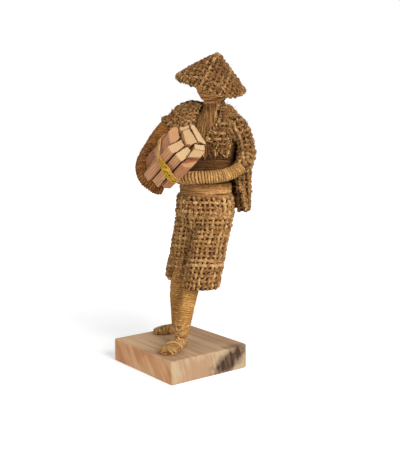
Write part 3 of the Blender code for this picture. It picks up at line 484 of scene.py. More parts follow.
@dataclass(frozen=True)
class StickFinish:
    """Finish of a split stick: long grain on its sides and paler end grain."""

    name: str
    tint: StickTint
    pore: Colour
    shade: Colour
    number: float = 0.0
    # Red-brown colour over the part of the stick below an edge along its first direction across, with a soft,
    # wavy border.
    heart: Optional[Colour] = None
    red_side_edge: float = 0.0
    red_side_blur: float = 0.8 * MM
    red_side_sway: float = 2.0 * MM
    red_side_share: float = 0.9
    cleft_share: float = 0.8
    apart: Pair = (0.071, 0.043)
    ring_pitch: float = 1.9 * MM
    waviness: float = 1.6
    cut_from: float = 0.72
    cut_full: float = 0.86

    def material(self, axis: Vector, first: Vector, second: Vector) -> Material:
        """The material for sticks that lie along an axis.

        Args:
            axis: Direction of the sticks.
            first: One direction across them.
            second: The other direction across them.

        Returns:
            The material of this finish.
        """
        material, tree, shader = new_material(self.name, {"Specular IOR Level": 0.25, "Roughness": 0.75})
        here = put(tree, "TexCoord").outputs["Object"]
        parts = [measure(tree, "DOT_PRODUCT", here, tuple(way)) for way in (axis, first, second)]
        aside = [
            reckon(tree, "ADD", part, self.number * step) for part, step in zip(parts[1:], self.apart)
        ]
        feeds = {
            "Vector": combine(tree, parts[0], *aside),
            "Ring Pitch": self.ring_pitch,
            "Waviness": self.waviness,
        }
        grain = put(tree, "Group", feeds, node_tree=grain_group())
        ring, fibre = grain.outputs["Ring"], grain.outputs["Fibre"]
        tint = self.tint
        long_stops = ((0.22, tint.side), (0.62, tint.streak), (0.95, self.pore))
        sides = ramp(tree, weigh(tree, ring, 0.45, fibre, 0.75), long_stops)
        ends = ramp(tree, weigh(tree, ring, 0.6, fibre, 0.4), ((0.2, tint.end), (0.95, tint.streak)))
        facing = measure(tree, "DOT_PRODUCT", put(tree, "NewGeometry").outputs["Normal"], tuple(axis))
        cut = mapped(tree, reckon(tree, "ABSOLUTE", facing), self.cut_from, self.cut_full)
        # Painted shade: sides that face another stick close by are blended toward the dark shade colour, for
        # the unlit gaps between sticks.
        cleft = put(tree, "Attribute", attribute_name=CLEFT).outputs["Fac"]
        gap_shade = reckon(tree, "MULTIPLY", cleft, self.cleft_share)
        colour = blend_colours(tree, cut, blend_colours(tree, gap_shade, sides, self.shade), ends)
        if self.heart:
            edge = reckon(tree, "MULTIPLY_ADD", grain.outputs["Blotch"], self.red_side_sway, parts[1])
            inside = mapped(tree, edge, self.red_side_edge + self.red_side_blur, self.red_side_edge)
            share = reckon(tree, "MULTIPLY", inside, self.red_side_share)
            colour = blend_colours(tree, share, colour, self.heart)
        coat(tree, shader, colour, fibre, 0.4, 0.3 * MM)
        return material


@dataclass(frozen=True)
class Grain:
    """How closely the fine marks and the broad bands of a sawn face follow each other each way."""

    fine: Triple
    broad: Triple


@dataclass(frozen=True)
class Blot:
    """A spot on the block: its middle and half lengths in mm, and how far its length leans."""

    middle: Triple
    reach: Triple
    lean: float


@dataclass(frozen=True)
class BlockFinish:
    """Finish of the sawn block: weathered top, slanted saw marks, end grain, a knot and a dark stain."""

    name: str
    cream: Colour
    tan: Colour
    rust: Colour
    grey: Colour
    brown: Colour
    stain: Colour
    end: Colour
    top_grain: Grain = Grain((9.0, 150.0, 40.0), (7.0, 34.0, 30.0))
    side_grain: Grain = Grain((200.0, 30.0, 24.0), (62.0, 30.0, 30.0))
    end_grain: Grain = Grain((40.0, 330.0, 32.0), (30.0, 48.0, 30.0))
    side_turn: Triple = (0.0, 0.7, 0.0)
    end_turn: Triple = (-0.3, 0.0, 0.0)
    knot: Blot = Blot((48.5, -20.5, 16.5), (2.2, 1.8, 1.5), 0.0)
    knot_share: float = 0.6
    soak: Blot = Blot((48.5, 21.0, 10.5), (15.0, 23.0, 10.0), 0.5)
    bump: float = 0.35
    relief: float = 0.4 * MM

    def material(self) -> Material:
        """The material of the block.

        Returns:
            The material of this finish.
        """
        material, tree, shader = new_material(self.name, {"Specular IOR Level": 0.2, "Roughness": 0.8})
        here = put(tree, "TexCoord").outputs["Object"]
        normal = put(tree, "SeparateXYZ", {0: put(tree, "NewGeometry").outputs["Normal"]}).outputs
        top_mark, top_face = self.face(tree, here, self.top_grain, (self.cream, self.grey, self.brown))
        sawn = turned_place(tree, here, self.side_turn)
        side_mark, side_face = self.face(tree, sawn, self.side_grain, (self.cream, self.tan, self.rust))
        leaning = turned_place(tree, here, self.end_turn)
        end_mark, end_face = self.face(tree, leaning, self.end_grain, (self.end, self.end, self.brown))
        on_end = mapped(tree, reckon(tree, "ABSOLUTE", normal[0]), 0.55, 0.8)
        on_top = mapped(tree, normal[2], 0.5, 0.75)
        bare = blend_colours(tree, on_top, blend_colours(tree, on_end, side_face, end_face), top_face)
        knot = reckon(tree, "MULTIPLY", self.mask(tree, here, self.knot, end_mark), self.knot_share)
        knotted = blend_colours(tree, knot, bare, self.brown)
        cloud = speckle(tree, here, 130.0, 4.0, 0.65)
        soaked = self.mask(tree, here, self.soak, weigh(tree, end_mark, 0.25, cloud, 0.75))
        stained = reckon(tree, "MULTIPLY", soaked, mapped(tree, end_mark, 0.3, 0.55, 0.78))
        colour = blend_colours(tree, stained, knotted, self.stain)
        rough = reckon(tree, "ADD", top_mark, reckon(tree, "ADD", side_mark, end_mark))
        coat(tree, shader, colour, rough, self.bump, self.relief)
        return material

    @staticmethod
    def face(tree: Tree, place: Socket, grain: Grain, colours: Sequence[Colour]) -> tuple[Socket, Socket]:
        """Streaks of one face of the block.

        Args:
            tree: Node tree of the material.
            place: Place on the block, turned to the face's grain.
            grain: Its fine marks and broad bands.
            colours: Its light, middle and dark colour.

        Returns:
            The fine marks and the face's colour.
        """
        fine, broad = [
            speckle(tree, shift(tree, "MULTIPLY", place, rates), 1.0, detail, 0.6, 0.4)
            for rates, detail in ((grain.fine, 5.0), (grain.broad, 2.0))
        ]
        shade = weigh(tree, fine, 0.8, broad, 0.9)
        return fine, ramp(tree, shade, tuple(zip((0.55, 0.85, 1.25), colours)))

    @staticmethod
    def mask(tree: Tree, here: Socket, blot: Blot, ragged: Socket) -> Socket:
        """Mask of a spot on the block, 1 in its middle.

        Args:
            tree: Node tree of the material.
            here: Place on the block.
            blot: The spot.
            ragged: Marks that break its edge.

        Returns:
            The mask.
        """
        spot = shift(tree, "SUBTRACT", here, tuple(value * MM for value in blot.middle))
        turned = turned_place(tree, spot, (-blot.lean, 0.0, 0.0))
        squeezed = shift(tree, "MULTIPLY", turned, tuple(1.0 / (value * MM) for value in blot.reach))
        broken = reckon(tree, "MULTIPLY_ADD", ragged, -1.7, measure(tree, "LENGTH", squeezed))
        return mapped(tree, broken, 0.4, -0.35)


@dataclass(frozen=True)
class WireFinish:
    """Finish of bare drawn steel wire."""

    name: str = "drawn_wire"
    steel: Colour = srgb(120, 116, 110)
    rust: Colour = srgb(104, 72, 50)
    rust_rate: float = 260.0

    def material(self) -> Material:
        """The material of the wire.

        Returns:
            The material of this finish.
        """
        material, tree, shader = new_material(self.name, {"Metallic": 1.0, "Roughness": 0.45})
        spots = speckle(tree, put(tree, "TexCoord").outputs["Object"], self.rust_rate, 3.0)
        tree.links.new(ramp(tree, spots, ((0.5, self.steel), (0.72, self.rust))), shader.inputs["Base Color"])
        return material


BURLAP = StrandFinish("burlap_yarn", srgb(68, 37, 13), srgb(158, 113, 65), srgb(222, 186, 130))
COAT_BURLAP = StrandFinish("coat_burlap_yarn", srgb(50, 27, 9), srgb(127, 87, 47), srgb(201, 161, 106))
LOOSE = StrandFinish("loose_fibre", srgb(142, 98, 50), srgb(198, 152, 92), srgb(230, 194, 138))
TWINE = StrandFinish("twine", srgb(92, 56, 23), srgb(172, 127, 72), srgb(226, 186, 126))
# Painted light: a lighter copy of the twine for the calves, which the trousers shade from the lamps above.
LIT_LEG_TWINE = StrandFinish("lit_leg_twine", srgb(98, 59, 22), srgb(180, 130, 68), srgb(230, 187, 122))
# Painted shade in part: a darker copy of the twine for the right arm, which stands in shade; its more
# saturated brown is the twine's own.
SHADED_BROWN_TWINE = StrandFinish("shaded_brown_twine", srgb(48, 23, 7), srgb(114, 68, 28), srgb(184, 132, 72))
# Painted shade: the body's winding is kept this dark because the belly lies in shade.
FIBRE = StrandFinish("shade_dark_combed_fibre", srgb(36, 18, 7), srgb(78, 47, 20), srgb(128, 88, 47))
DULL_FIBRE = StrandFinish("dull_fibre", srgb(54, 31, 12), srgb(120, 80, 42), srgb(184, 140, 87))
# Painted light in part: the neck and head are pale fibre, made paler still against the shade of the hat; the
# pale chest strands share it.
LIT_PALE_FIBRE = StrandFinish("lit_pale_fibre", srgb(120, 74, 33), srgb(210, 151, 90), srgb(248, 210, 152))
SASH_FIBRE = StrandFinish("sash_fibre", srgb(86, 52, 22), srgb(164, 115, 65), srgb(222, 178, 118))
RAFFIA = StrandFinish("raffia_strand", srgb(128, 88, 44), srgb(182, 136, 78), srgb(218, 178, 118), 0.25, 0.7)
DYED_RAFFIA = StrandFinish("dyed_raffia", srgb(126, 88, 18), srgb(190, 146, 36), srgb(222, 190, 84), 0.3, 0.7)
# Painted shade: this dark sheet lies under the burlap yarns so that the holes of the weave show dark.
SHADE_BACKING = BackingFinish("shade_dark_backing", srgb(36, 20, 8), srgb(74, 46, 22))
CORE = BackingFinish("twine_core", srgb(92, 58, 28), srgb(136, 92, 50))
BLOCK = BlockFinish(
    name="sawn_block", cream=srgb(216, 180, 140), tan=srgb(206, 156, 112), rust=srgb(190, 134, 92),
    grey=srgb(196, 162, 128), brown=srgb(174, 138, 106), stain=srgb(64, 42, 30), end=srgb(186, 162, 128),
)
WIRE = WireFinish()


@dataclass(frozen=True)
class Yarn:
    """A kind of strand: its size and how it is spun.

    Attributes:
        radius: Radius of the strand.
        plies: Strands twisted together in it.
        furrow: Depth of the furrow between plies, as a share of the radius.
        lay: Length of one turn of its twist.
        sides: Corners of its cross-section.
        slub: How unevenly it is spun.
        flat: Thickness over width, below 1 for ribbon.
    """

    radius: float
    plies: int
    furrow: float
    lay: float
    sides: int
    slub: float
    flat: float = 1.0

    @classmethod
    def smooth(cls, radius: float, sides: int, slub: float = 0.3, flat: float = 1.0) -> "Yarn":
        """A strand of one ply, without a twist."""
        return cls(radius, 1, 0.0, 0.0, sides, slub, flat)

    def profile(self) -> Piece:
        """Closed outline that the strand is swept from.

        Returns:
            A curve object that is removed after use.
        """
        outline = bpy.data.curves.new("strand_outline", "CURVE")
        outline.dimensions = "2D"
        spline = outline.splines.new("POLY")
        spline.points.add(self.sides - 1)
        for step, corner in enumerate(spline.points):
            turn = -tau * step / self.sides
            radius = self.radius * (1.0 - self.furrow * (0.5 - 0.5 * cos(self.plies * turn)))
            corner.co = (radius * cos(turn), radius * self.flat * sin(turn), 0.0, 1.0)
        spline.use_cyclic_u = True
        return add_to_scene("strand_outline", outline)


@dataclass
class Strand:
    """One laid strand: its line, its width at each point, its roll and its shade."""

    points: list[Vector]
    widths: list[float]
    tone: float
    roll: float


class Skein:
    """Strands of one yarn, gathered to be made into one piece."""

    fewest = 4
    wander_rate = 0.31
    bake_margin = 0.08
    bake_width = 0.84

    def __init__(self, yarn: Yarn, seed: int) -> None:
        """Starts an empty skein of a yarn."""
        self.yarn = yarn
        self.dice = random.Random(seed)
        self.strands: list[Strand] = []

    def lay(
        self, points: Sequence[Vector], tone: Optional[float] = None, width: float = 1.0,
        roll: Optional[float] = None,
    ) -> None:
        """Adds a strand whose thickness wanders and whose ends run out to a tip.

        Args:
            points: Line of the strand.
            tone: Shade from 0, dark, to 1, light.
            width: Thickness as a share of the yarn's own.
            roll: Turn of its outline at the start.
        """
        if len(points) < self.fewest:
            return
        shade = self.dice.random() if tone is None else tone
        phase = self.dice.uniform(0.0, 90.0)
        widths = []
        for step in range(len(points)):
            wander = noise.noise(Vector((phase, self.wander_rate * step, 7.0 * shade)))
            widths.append(width * (1.0 + 2.0 * self.yarn.slub * wander))
        widths[0] = 0.0
        widths[-1] = 0.0
        turn = self.dice.uniform(0.0, tau) if roll is None else roll
        self.strands.append(Strand([p.copy() for p in points], widths, shade, turn))

    def piece(self, name: str, finish: StrandFinish) -> Piece:
        """Sweeps every strand and makes them one mesh piece.

        Args:
            name: Name of the piece.
            finish: Its finish.

        Returns:
            The piece, with a map along its strands and a map for baking.
        """
        outline = self.yarn.profile()
        curve = bpy.data.curves.new(name, "CURVE")
        curve.dimensions = "3D"
        curve.twist_mode = "MINIMUM"
        curve.bevel_mode = "OBJECT"
        curve.bevel_object = outline
        lengths = []
        for strand in self.strands:
            spline = curve.splines.new("POLY")
            spline.points.add(len(strand.points) - 1)
            run = 0.0
            for step, knot in enumerate(spline.points):
                if step:
                    run += (strand.points[step] - strand.points[step - 1]).length
                knot.co = (*strand.points[step], 1.0)
                knot.tilt = strand.roll + (tau * run / self.yarn.lay if self.yarn.lay else 0.0)
                knot.radius = strand.widths[step]
            lengths.append(run)
        holder = add_to_scene(name + "_line", curve)
        bpy.context.view_layer.update()
        mesh = bpy.data.meshes.new_from_object(holder.evaluated_get(bpy.context.evaluated_depsgraph_get()))
        mesh.name = name
        for spare in (holder, outline):
            data = spare.data
            bpy.data.objects.remove(spare)
            bpy.data.curves.remove(data)
        self.map_strands(mesh, np.array(lengths))
        bm = bmesh.new()
        bm.from_mesh(mesh)
        bmesh.ops.remove_doubles(bm, verts=bm.verts, dist=STRAND_MERGE)
        bm.to_mesh(mesh)
        bm.free()
        mesh.materials.clear()
        mesh.materials.append(finish.material())
        return add_to_scene(name, mesh)

    def map_strands(self, mesh: bpy.types.Mesh, lengths: np.ndarray) -> None:
        """Writes the strands' shades, their lengthwise map and their map for baking.

        Args:
            mesh: Mesh swept from the strands, four corners to a face.
            lengths: Length of each strand.
        """
        faces = [(len(strand.points) - 1) * self.yarn.sides for strand in self.strands]
        owner = np.repeat(np.arange(len(faces)), faces)
        swept = mesh.uv_layers[0]
        swept.name = YARN_MAP
        flat = np.empty(len(mesh.loops) * 2, np.float32)
        swept.data.foreach_get("uv", flat)
        corners = flat.reshape(-1, 4, 2).astype(float)
        along = corners[:, :, 0] * lengths[owner][:, None]
        around = corners[:, :, 1]
        swept.data.foreach_set("uv", np.stack((along, around), axis=2).astype(np.float32).ravel())
        shades = np.array([strand.tone for strand in self.strands], np.float32)[owner]
        mesh.attributes.new(TONE, "FLOAT", "FACE").data.foreach_set("value", shades)
        before = np.concatenate(([0.0], np.cumsum(lengths)[:-1]))[owner][:, None]
        total = float(lengths.sum())
        girth = tau * self.yarn.radius
        columns = max(1, ceil(sqrt(total / girth)))
        height = total / columns
        start = before + along.min(axis=1, keepdims=True)
        column = np.floor(start / height)
        longest = float((along.max(axis=1) - along.min(axis=1)).max())
        sideways = (column + self.bake_margin + self.bake_width * around) / columns
        upward = (before + along - column * height) / (height + longest)
        bake = mesh.uv_layers.new(name=BAKE_MAP)
        bake.data.foreach_set("uv", np.stack((sideways, upward), axis=2).astype(np.float32).ravel())


LOOSE_STRAND = Yarn(0.7 * MM, plies=2, furrow=0.15, lay=8.0 * MM, sides=6, slub=0.25)
LOOSE_SEED = 500


class Surface:
    """Surfaces of CAD nodes that strands and cloth are laid on."""

    past = 0.02 * MM
    floor_gap = 0.6 * MM

    def __init__(self, *names: str) -> None:
        """Gathers the triangles of the named nodes."""
        self.corners: list[Vector] = []
        faces: list[tuple[int, ...]] = []
        for name in names:
            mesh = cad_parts[name].data
            first = len(self.corners)
            self.corners.extend(vert.co.copy() for vert in mesh.vertices)
            faces.extend(tuple(first + index for index in face.vertices) for face in mesh.polygons)
        self.tree = BVHTree.FromPolygons(self.corners, faces)

    def outermost(self, origin: Vector, direction: Vector, reach: float) -> Optional[Vector]:
        """Last place where a ray meets the surfaces.

        Args:
            origin: Start of the ray.
            direction: Its unit direction.
            reach: How far it goes.

        Returns:
            The place, or None where it meets nothing.
        """
        gone = 0.0
        last = None
        while gone < reach:
            place, _, _, distance = self.tree.ray_cast(origin + direction * gone, direction, reach - gone)
            if place is None:
                break
            last = place
            gone += distance + self.past
        return last

    def met(self, origin: Vector, ways: Sequence[Vector], reach: float) -> list[Vector]:
        """Last places where those rays that meet the surfaces meet them."""
        found = (self.outermost(origin, way, reach) for way in ways)
        return [place for place in found if place is not None]

    def lowest_middle(self) -> Vector:
        """Middle of the lowest corners."""
        lowest = min(corner.z for corner in self.corners)
        return mean([corner for corner in self.corners if corner.z < lowest + self.floor_gap])


@dataclass
class Centreline:
    """Middle line of a limb, with directions across it that don't twist."""

    spots: list[Vector]
    headings: list[Vector]
    sides: list[Vector]
    runs: list[float]

    @classmethod
    def through(cls, spots: Sequence[Vector], side: Optional[Vector] = None) -> "Centreline":
        """Line through given spots.

        Args:
            spots: Points of the line.
            side: Direction across it at its start.

        Returns:
            The line.
        """
        headings = []
        for step in range(len(spots)):
            headings.append((spots[min(step + 1, len(spots) - 1)] - spots[max(step - 1, 0)]).normalized())
        across = side or headings[0].orthogonal()
        sides = []
        runs = [0.0]
        for step, heading in enumerate(headings):
            if step:
                across = headings[step - 1].rotation_difference(heading) @ across
                runs.append(runs[-1] + (spots[step] - spots[step - 1]).length)
            across = (across - heading * across.dot(heading)).normalized()
            sides.append(across.copy())
        return cls(list(spots), headings, sides, runs)

    @classmethod
    def inside(
        cls, surface: Surface, start: Vector, heading: Vector, reach: float, step: float = 2.0 * MM
    ) -> "Centreline":
        """Middle line found by walking along the inside of a limb.

        Args:
            surface: The limb's surface.
            start: Where to start.
            heading: Where to head first.
            reach: More than the limb's radius, less than the way to its next stretch.
            step: Length of a step.

        Returns:
            The line.
        """
        most_steps, rays, enough, keep = 240, 16, 14, 0.6
        here = start.copy()
        way = heading.normalized()
        spots: list[Vector] = []
        for _ in range(most_steps):
            side = way.orthogonal().normalized()
            other = way.cross(side)
            ways = [toward(side, other, tau * turn / rays) for turn in range(rays)]
            hits = surface.met(here, ways, reach)
            if len(hits) < enough:
                break
            middle = mean(hits)
            if spots:
                way = (way * keep + (middle - spots[-1]).normalized() * (1.0 - keep)).normalized()
            spots.append(middle)
            here = middle + way * step
        smooth = list(spots)
        for _ in range(2):
            inner = [(a + b * 2.0 + c) / 4.0 for a, b, c in zip(smooth, smooth[1:], smooth[2:])]
            smooth = [smooth[0], *inner, smooth[-1]]
        return cls.through(smooth)

    def length(self) -> float:
        """Length of the line."""
        return self.runs[-1]

    def at(self, run: float) -> tuple[Vector, Vector, Vector]:
        """Place, side and other side at a distance along the line.

        Args:
            run: Distance from its start.

        Returns:
            The place and two directions across the line there.
        """
        step = min(max(bisect.bisect_right(self.runs, run) - 1, 0), len(self.runs) - 2)
        span = self.runs[step + 1] - self.runs[step]
        share = clamp((run - self.runs[step]) / span)
        spot = self.spots[step].lerp(self.spots[step + 1], share)
        heading = self.headings[step].lerp(self.headings[step + 1], share).normalized()
        side = self.sides[step].lerp(self.sides[step + 1], share)
        side = (side - heading * side.dot(heading)).normalized()
        return spot, side, heading.cross(side)


@dataclass
class Row:
    """One level of a garment: how far round each spot lies from the reference line, and where it is."""

    places: list[float]
    spots: list[Optional[Vector]]
    outward: list[Vector]

    def at(self, across: float) -> Optional[tuple[Vector, Vector]]:
        """Spot and outward direction at a distance round, or None off the cloth."""
        step = bisect.bisect_right(self.places, across) - 1
        if step < 0 or step >= len(self.places) - 1:
            return None
        first, second = self.spots[step], self.spots[step + 1]
        if first is None or second is None:
            return None
        share = (across - self.places[step]) / (self.places[step + 1] - self.places[step])
        return first.lerp(second, share), self.outward[step].lerp(self.outward[step + 1], share)

    def span(self) -> Optional[tuple[float, float]]:
        """Least and greatest distance round at which there is cloth, or None."""
        held = [place for place, spot in zip(self.places, self.spots) if spot is not None]
        return (held[0], held[-1]) if len(held) > 1 else None


@dataclass
class Level:
    """Where a row of a garment is sought: round which middle, from which reference line, and how far out."""

    middle: Vector
    zero: Vector
    quarter: Vector
    reach: float
    half_turn: float = pi
    rise: float = 0.0
    least: float = 0.0
    depth: float = 0.0

    def swell(self, turn: float) -> float:
        """Distance from the middle that the cloth keeps at a turn, though nothing lies under it."""
        level = cos(self.rise)
        ahead = level * sin(turn) / self.depth
        aside = hypot(level * cos(turn), sin(self.rise)) / self.least
        return 1.0 / hypot(ahead, aside)


class Chart:
    """Flat plan of a garment: distance round and distance along give a spot on it."""

    wave_rate = 75.0
    bare_gap = 3.0 * MM
    edge_lift = 0.8 * MM

    def __init__(self, rows: Sequence[Row], stations: Sequence[float]) -> None:
        """Keeps the rows and the distance along at which each lies."""
        self.rows = list(rows)
        self.stations = list(stations)

    @classmethod
    def round(
        cls, surface: Surface, levels: Sequence[Level], lift: float, slack: float, steps: int = 60,
        whole: bool = False, ease: int = 1,
    ) -> "Chart":
        """Chart of a garment that goes round a middle line.

        Args:
            surface: CAD surfaces that the garment lies on.
            levels: Levels from one end of the garment to the other.
            lift: Distance of the chart outside the CAD surfaces.
            slack: Height of the cloth's soft waves.
            steps: Rays on each side of the reference line.
            whole: Whether the cloth goes on where there is no CAD surface.
            ease: How often its shape is smoothed.

        Returns:
            The chart.
        """
        kept = []
        for level in levels:
            turns = [level.half_turn * step / steps for step in range(-steps, steps + 1)]
            flat, steep = cos(level.rise), UP * sin(level.rise)
            ways = [toward(level.zero, level.quarter, turn) * flat + steep for turn in turns]
            hits = [surface.outermost(level.middle, way, level.reach) for way in ways]
            radii = [(hit - level.middle).length if hit is not None else None for hit in hits]
            if level.least:
                radii = [max(radius or 0.0, level.swell(turn)) for radius, turn in zip(radii, turns)]
            if any(radius is not None for radius in radii):
                kept.append((level, ways, radii))
        grid = np.array([cls.filled(radii) for _, _, radii in kept])
        for _ in range(ease):
            grid[:, 1:-1] = softened(grid.T).T
            if whole:
                grid[1:-1] = softened(grid)
        rows = []
        for (level, ways, radii), eased in zip(kept, grid):
            spots = []
            for way, radius in zip(ways, eased):
                spot = level.middle + way * (float(radius) + lift)
                spots.append(spot + way * (slack * noise.noise(spot * cls.wave_rate)))
            places = [0.0]
            for step in range(1, len(spots)):
                places.append(places[-1] + (spots[step] - spots[step - 1]).length)
            places = [place - places[steps] for place in places]
            shown = [spot if whole or radius is not None else None for spot, radius in zip(spots, radii)]
            rows.append(Row(places, shown, ways))
        stations = [0.0]
        for low, high in zip(rows, rows[1:]):
            gaps = [(a - b).length for a, b in zip(low.spots, high.spots) if a is not None and b is not None]
            stations.append(stations[-1] + (sum(gaps) / len(gaps) if gaps else cls.bare_gap))
        return cls(rows, stations)

    @staticmethod
    def filled(radii: Sequence[Optional[float]]) -> list[float]:
        """The radii, with the nearest one where there is none."""
        held = [index for index, radius in enumerate(radii) if radius is not None]
        return [radii[min(held, key=lambda near: abs(near - index))] for index in range(len(radii))]

    def edges(self) -> list[list[Vector]]:
        """Lines along the two side edges of the cloth."""
        sides: list[list[Vector]] = [[], []]
        for row in self.rows:
            held = [(spot, way) for spot, way in zip(row.spots, row.outward) if spot is not None]
            if len(held) > 1:
                for side, (spot, way) in zip(sides, (held[1], held[-2])):
                    side.append(spot + way * self.edge_lift)
        return sides

    def at(self, across: float, along: float) -> Optional[tuple[Vector, Vector]]:
        """Spot and outward direction of a place of the plan.

        Args:
            across: Distance round from the reference line.
            along: Distance from the first level.

        Returns:
            The spot and the direction, or None off the cloth.
        """
        step = bisect.bisect_right(self.stations, along) - 1
        if step < 0 or step >= len(self.stations) - 1:
            return None
        low, high = self.rows[step].at(across), self.rows[step + 1].at(across)
        if low is None or high is None:
            return None
        share = (along - self.stations[step]) / (self.stations[step + 1] - self.stations[step])
        return low[0].lerp(high[0], share), low[1].lerp(high[1], share).normalized()

    def reach(self) -> tuple[float, float, float, float]:
        """Least and greatest distance round, and along."""
        spans = [span for span in (row.span() for row in self.rows) if span]
        return min(s[0] for s in spans), max(s[1] for s in spans), 0.0, self.stations[-1]

    def area(self) -> float:
        """Area of the flat cut."""
        widths = [span[1] - span[0] if span else 0.0 for span in (row.span() for row in self.rows)]
        steps = zip(widths, widths[1:], self.stations, self.stations[1:])
        return sum((first + second) / 2.0 * (high - low) for first, second, low, high in steps)

    def place(self, sideways: float, upward: float) -> tuple[float, float]:
        """Place on the plan of shares from 0 to 1 of the cut's width and length."""
        along = upward * self.stations[-1]
        step = min(max(bisect.bisect_right(self.stations, along) - 1, 0), len(self.rows) - 2)
        share = (along - self.stations[step]) / (self.stations[step + 1] - self.stations[step])
        low, high = self.rows[step].span(), self.rows[step + 1].span()
        left = low[0] + (high[0] - low[0]) * share
        right = low[1] + (high[1] - low[1]) * share
        return left + (right - left) * sideways, along


class ConeChart(Chart):
    """Flat plan of the hat: a sector that is rolled into a cone."""

    wave = 0.9 * MM
    droop_turn = 0.95
    droop_spread = 0.45
    droop_from = 0.65
    droop_length = 0.35
    rim_inset = 0.6 * MM
    rim_steps = 90
    overhang = 1.05
    turn_share = 0.9999
    tip_share = 0.012
    slant_share = 0.983

    def __init__(
        self, tip: Vector, axis: Vector, seam: Vector, half_angle: float, slant: float, droop: float
    ) -> None:
        """Keeps the cone's tip, axis, seam direction, half angle, slant length and how far its rim droops."""
        self.tip = tip
        self.axis = axis
        self.front = -(seam - axis * seam.dot(axis)).normalized()
        self.side = axis.cross(self.front)
        self.half_angle = half_angle
        self.slant = slant
        self.droop = droop

    def at(self, across: float, along: float) -> Optional[tuple[Vector, Vector]]:
        """Spot and outward direction of a place of the plan, or None off the cloth."""
        flat_turn = atan2(across, along)
        turn = flat_turn / sin(self.half_angle)
        run = hypot(across, along)
        if abs(turn) > pi or run > self.rim(turn):
            return None
        return self.spot(turn, run)

    def rim(self, turn: float) -> float:
        """Slant length of the uneven rim at a turn."""
        return self.slant * (1.0 + 0.022 * cos(2.0 * turn + 0.6) + 0.018 * sin(5.0 * turn))

    def spot(self, turn: float, run: float) -> tuple[Vector, Vector]:
        """Spot and outward direction at a turn from the front and a distance from the tip."""
        away = toward(self.front, self.side, turn)
        rise, spread = cos(self.half_angle), sin(self.half_angle)
        outward = away * rise + self.axis * spread
        wave = self.wave * noise.noise(Vector((3.0 * cos(turn), 3.0 * sin(turn), run * 60.0)))
        fall = self.droop * exp(-((turn - self.droop_turn) / self.droop_spread) ** 2)
        sag = fall * max(run / self.slant - self.droop_from, 0.0) / self.droop_length
        return self.tip + (away * spread - self.axis * rise) * run + outward * wave - self.axis * sag, outward

    def reach(self) -> tuple[float, float, float, float]:
        """Least and greatest distance across and along the flat sector."""
        full = self.slant * self.overhang
        return -full, full, -full, full

    def edges(self) -> list[list[Vector]]:
        """Line along the rim."""
        rim = []
        for step in range(self.rim_steps + 1):
            turn = tau * step / self.rim_steps - pi
            spot, outward = self.spot(turn, self.rim(turn) - self.rim_inset)
            rim.append(spot - outward * self.rim_inset)
        return [rim]

    def area(self) -> float:
        """Area of the flat cut."""
        return pi * self.slant ** 2 * sin(self.half_angle)

    def place(self, sideways: float, upward: float) -> tuple[float, float]:
        """Place on the plan of shares from 0 to 1 of the turn and of the slant."""
        turn = (2.0 * sideways - 1.0) * pi * self.turn_share
        run = self.rim(turn) * (self.tip_share + self.slant_share * upward)
        flat_turn = turn * sin(self.half_angle)
        return run * sin(flat_turn), run * cos(flat_turn)


@dataclass(frozen=True)
class Weave:
    """Coarse plain weave: pitch of its yarns, how far they bend over and under, and how its edges fray."""

    yarn: Yarn
    pitch: float = 4.6 * MM
    crimp: float = 0.85 * MM
    wander: float = 0.16
    pull: float = 1.5 * MM
    fray: float = 1.6 * MM
    samples: int = 5
    fewest: int = 5
    widths: Pair = (0.82, 1.16)
    sway_rate: float = 70.0
    pull_rate: float = 32.0
    bulge: float = 0.7
    bulge_rate: float = 110.0

    def lay(self, chart: Chart, skein: Skein) -> None:
        """Weaves the whole of a chart.

        Args:
            chart: Plan of the garment.
            skein: Where its yarns go.
        """
        left, right, low, high = chart.reach()
        for runs_along in (True, False):
            least, most = (left, right) if runs_along else (low, high)
            start, end = (low, high) if runs_along else (left, right)
            for number in range(ceil(least / self.pitch), floor(most / self.pitch) + 1):
                self.lay_yarn(chart, skein, number, runs_along, start, end)

    def lay_yarn(
        self, chart: Chart, skein: Skein, number: int, runs_along: bool, start: float, end: float
    ) -> None:
        """Lays one yarn over and under those that cross it, in as many lengths as the cut leaves.

        Args:
            chart: Plan of the garment.
            skein: Where the yarn goes.
            number: Number of the yarn from the reference line.
            runs_along: Whether it runs along the garment or round it.
            start: Where the yarn starts.
            end: Where it ends.
        """
        step = self.pitch / self.samples
        phase = skein.dice.uniform(0.0, 50.0)
        shade = skein.dice.random()
        width = skein.dice.uniform(*self.widths)
        sign = 1.0 if runs_along else -1.0
        line: list[Vector] = []
        for index in range(int((end - start) / step) + 2):
            run = start + index * step
            sway = self.pitch * self.wander * noise.noise(Vector((phase, run * self.sway_rate, 1.0)))
            place = number * self.pitch + sway
            flat = Vector((place, run, 0.0) if runs_along else (run, place, 0.0))
            flat += noise.noise_vector(flat * self.pull_rate) * self.pull
            found = chart.at(flat.x, flat.y)
            if found is None:
                self.close(line, skein, shade, width)
                line = []
                continue
            bulge = 1.0 + self.bulge * noise.noise(Vector((phase, run * self.bulge_rate, 5.0)))
            lift = sign * self.crimp * bulge * cos(pi * (run / self.pitch + number))
            line.append(found[0] + found[1] * lift)
        self.close(line, skein, shade, width)

    def close(self, line: list[Vector], skein: Skein, shade: float, width: float) -> None:
        """Ends a length of yarn with short raw ends.

        Args:
            line: Points of the length.
            skein: Where it goes.
            shade: Its shade.
            width: Its thickness.
        """
        if len(line) < self.fewest:
            return
        for end, inner in ((0, 1), (-1, -2)):
            way = (line[end] - line[inner]).normalized()
            loose = Vector([skein.dice.uniform(-0.35, 0.35) for _ in range(3)])
            tip = line[end] + (way + loose).normalized() * (self.fray * skein.dice.uniform(0.3, 1.0))
            if end == 0:
                line.insert(0, tip)
            else:
                line.append(tip)
        skein.lay(line, shade, width)


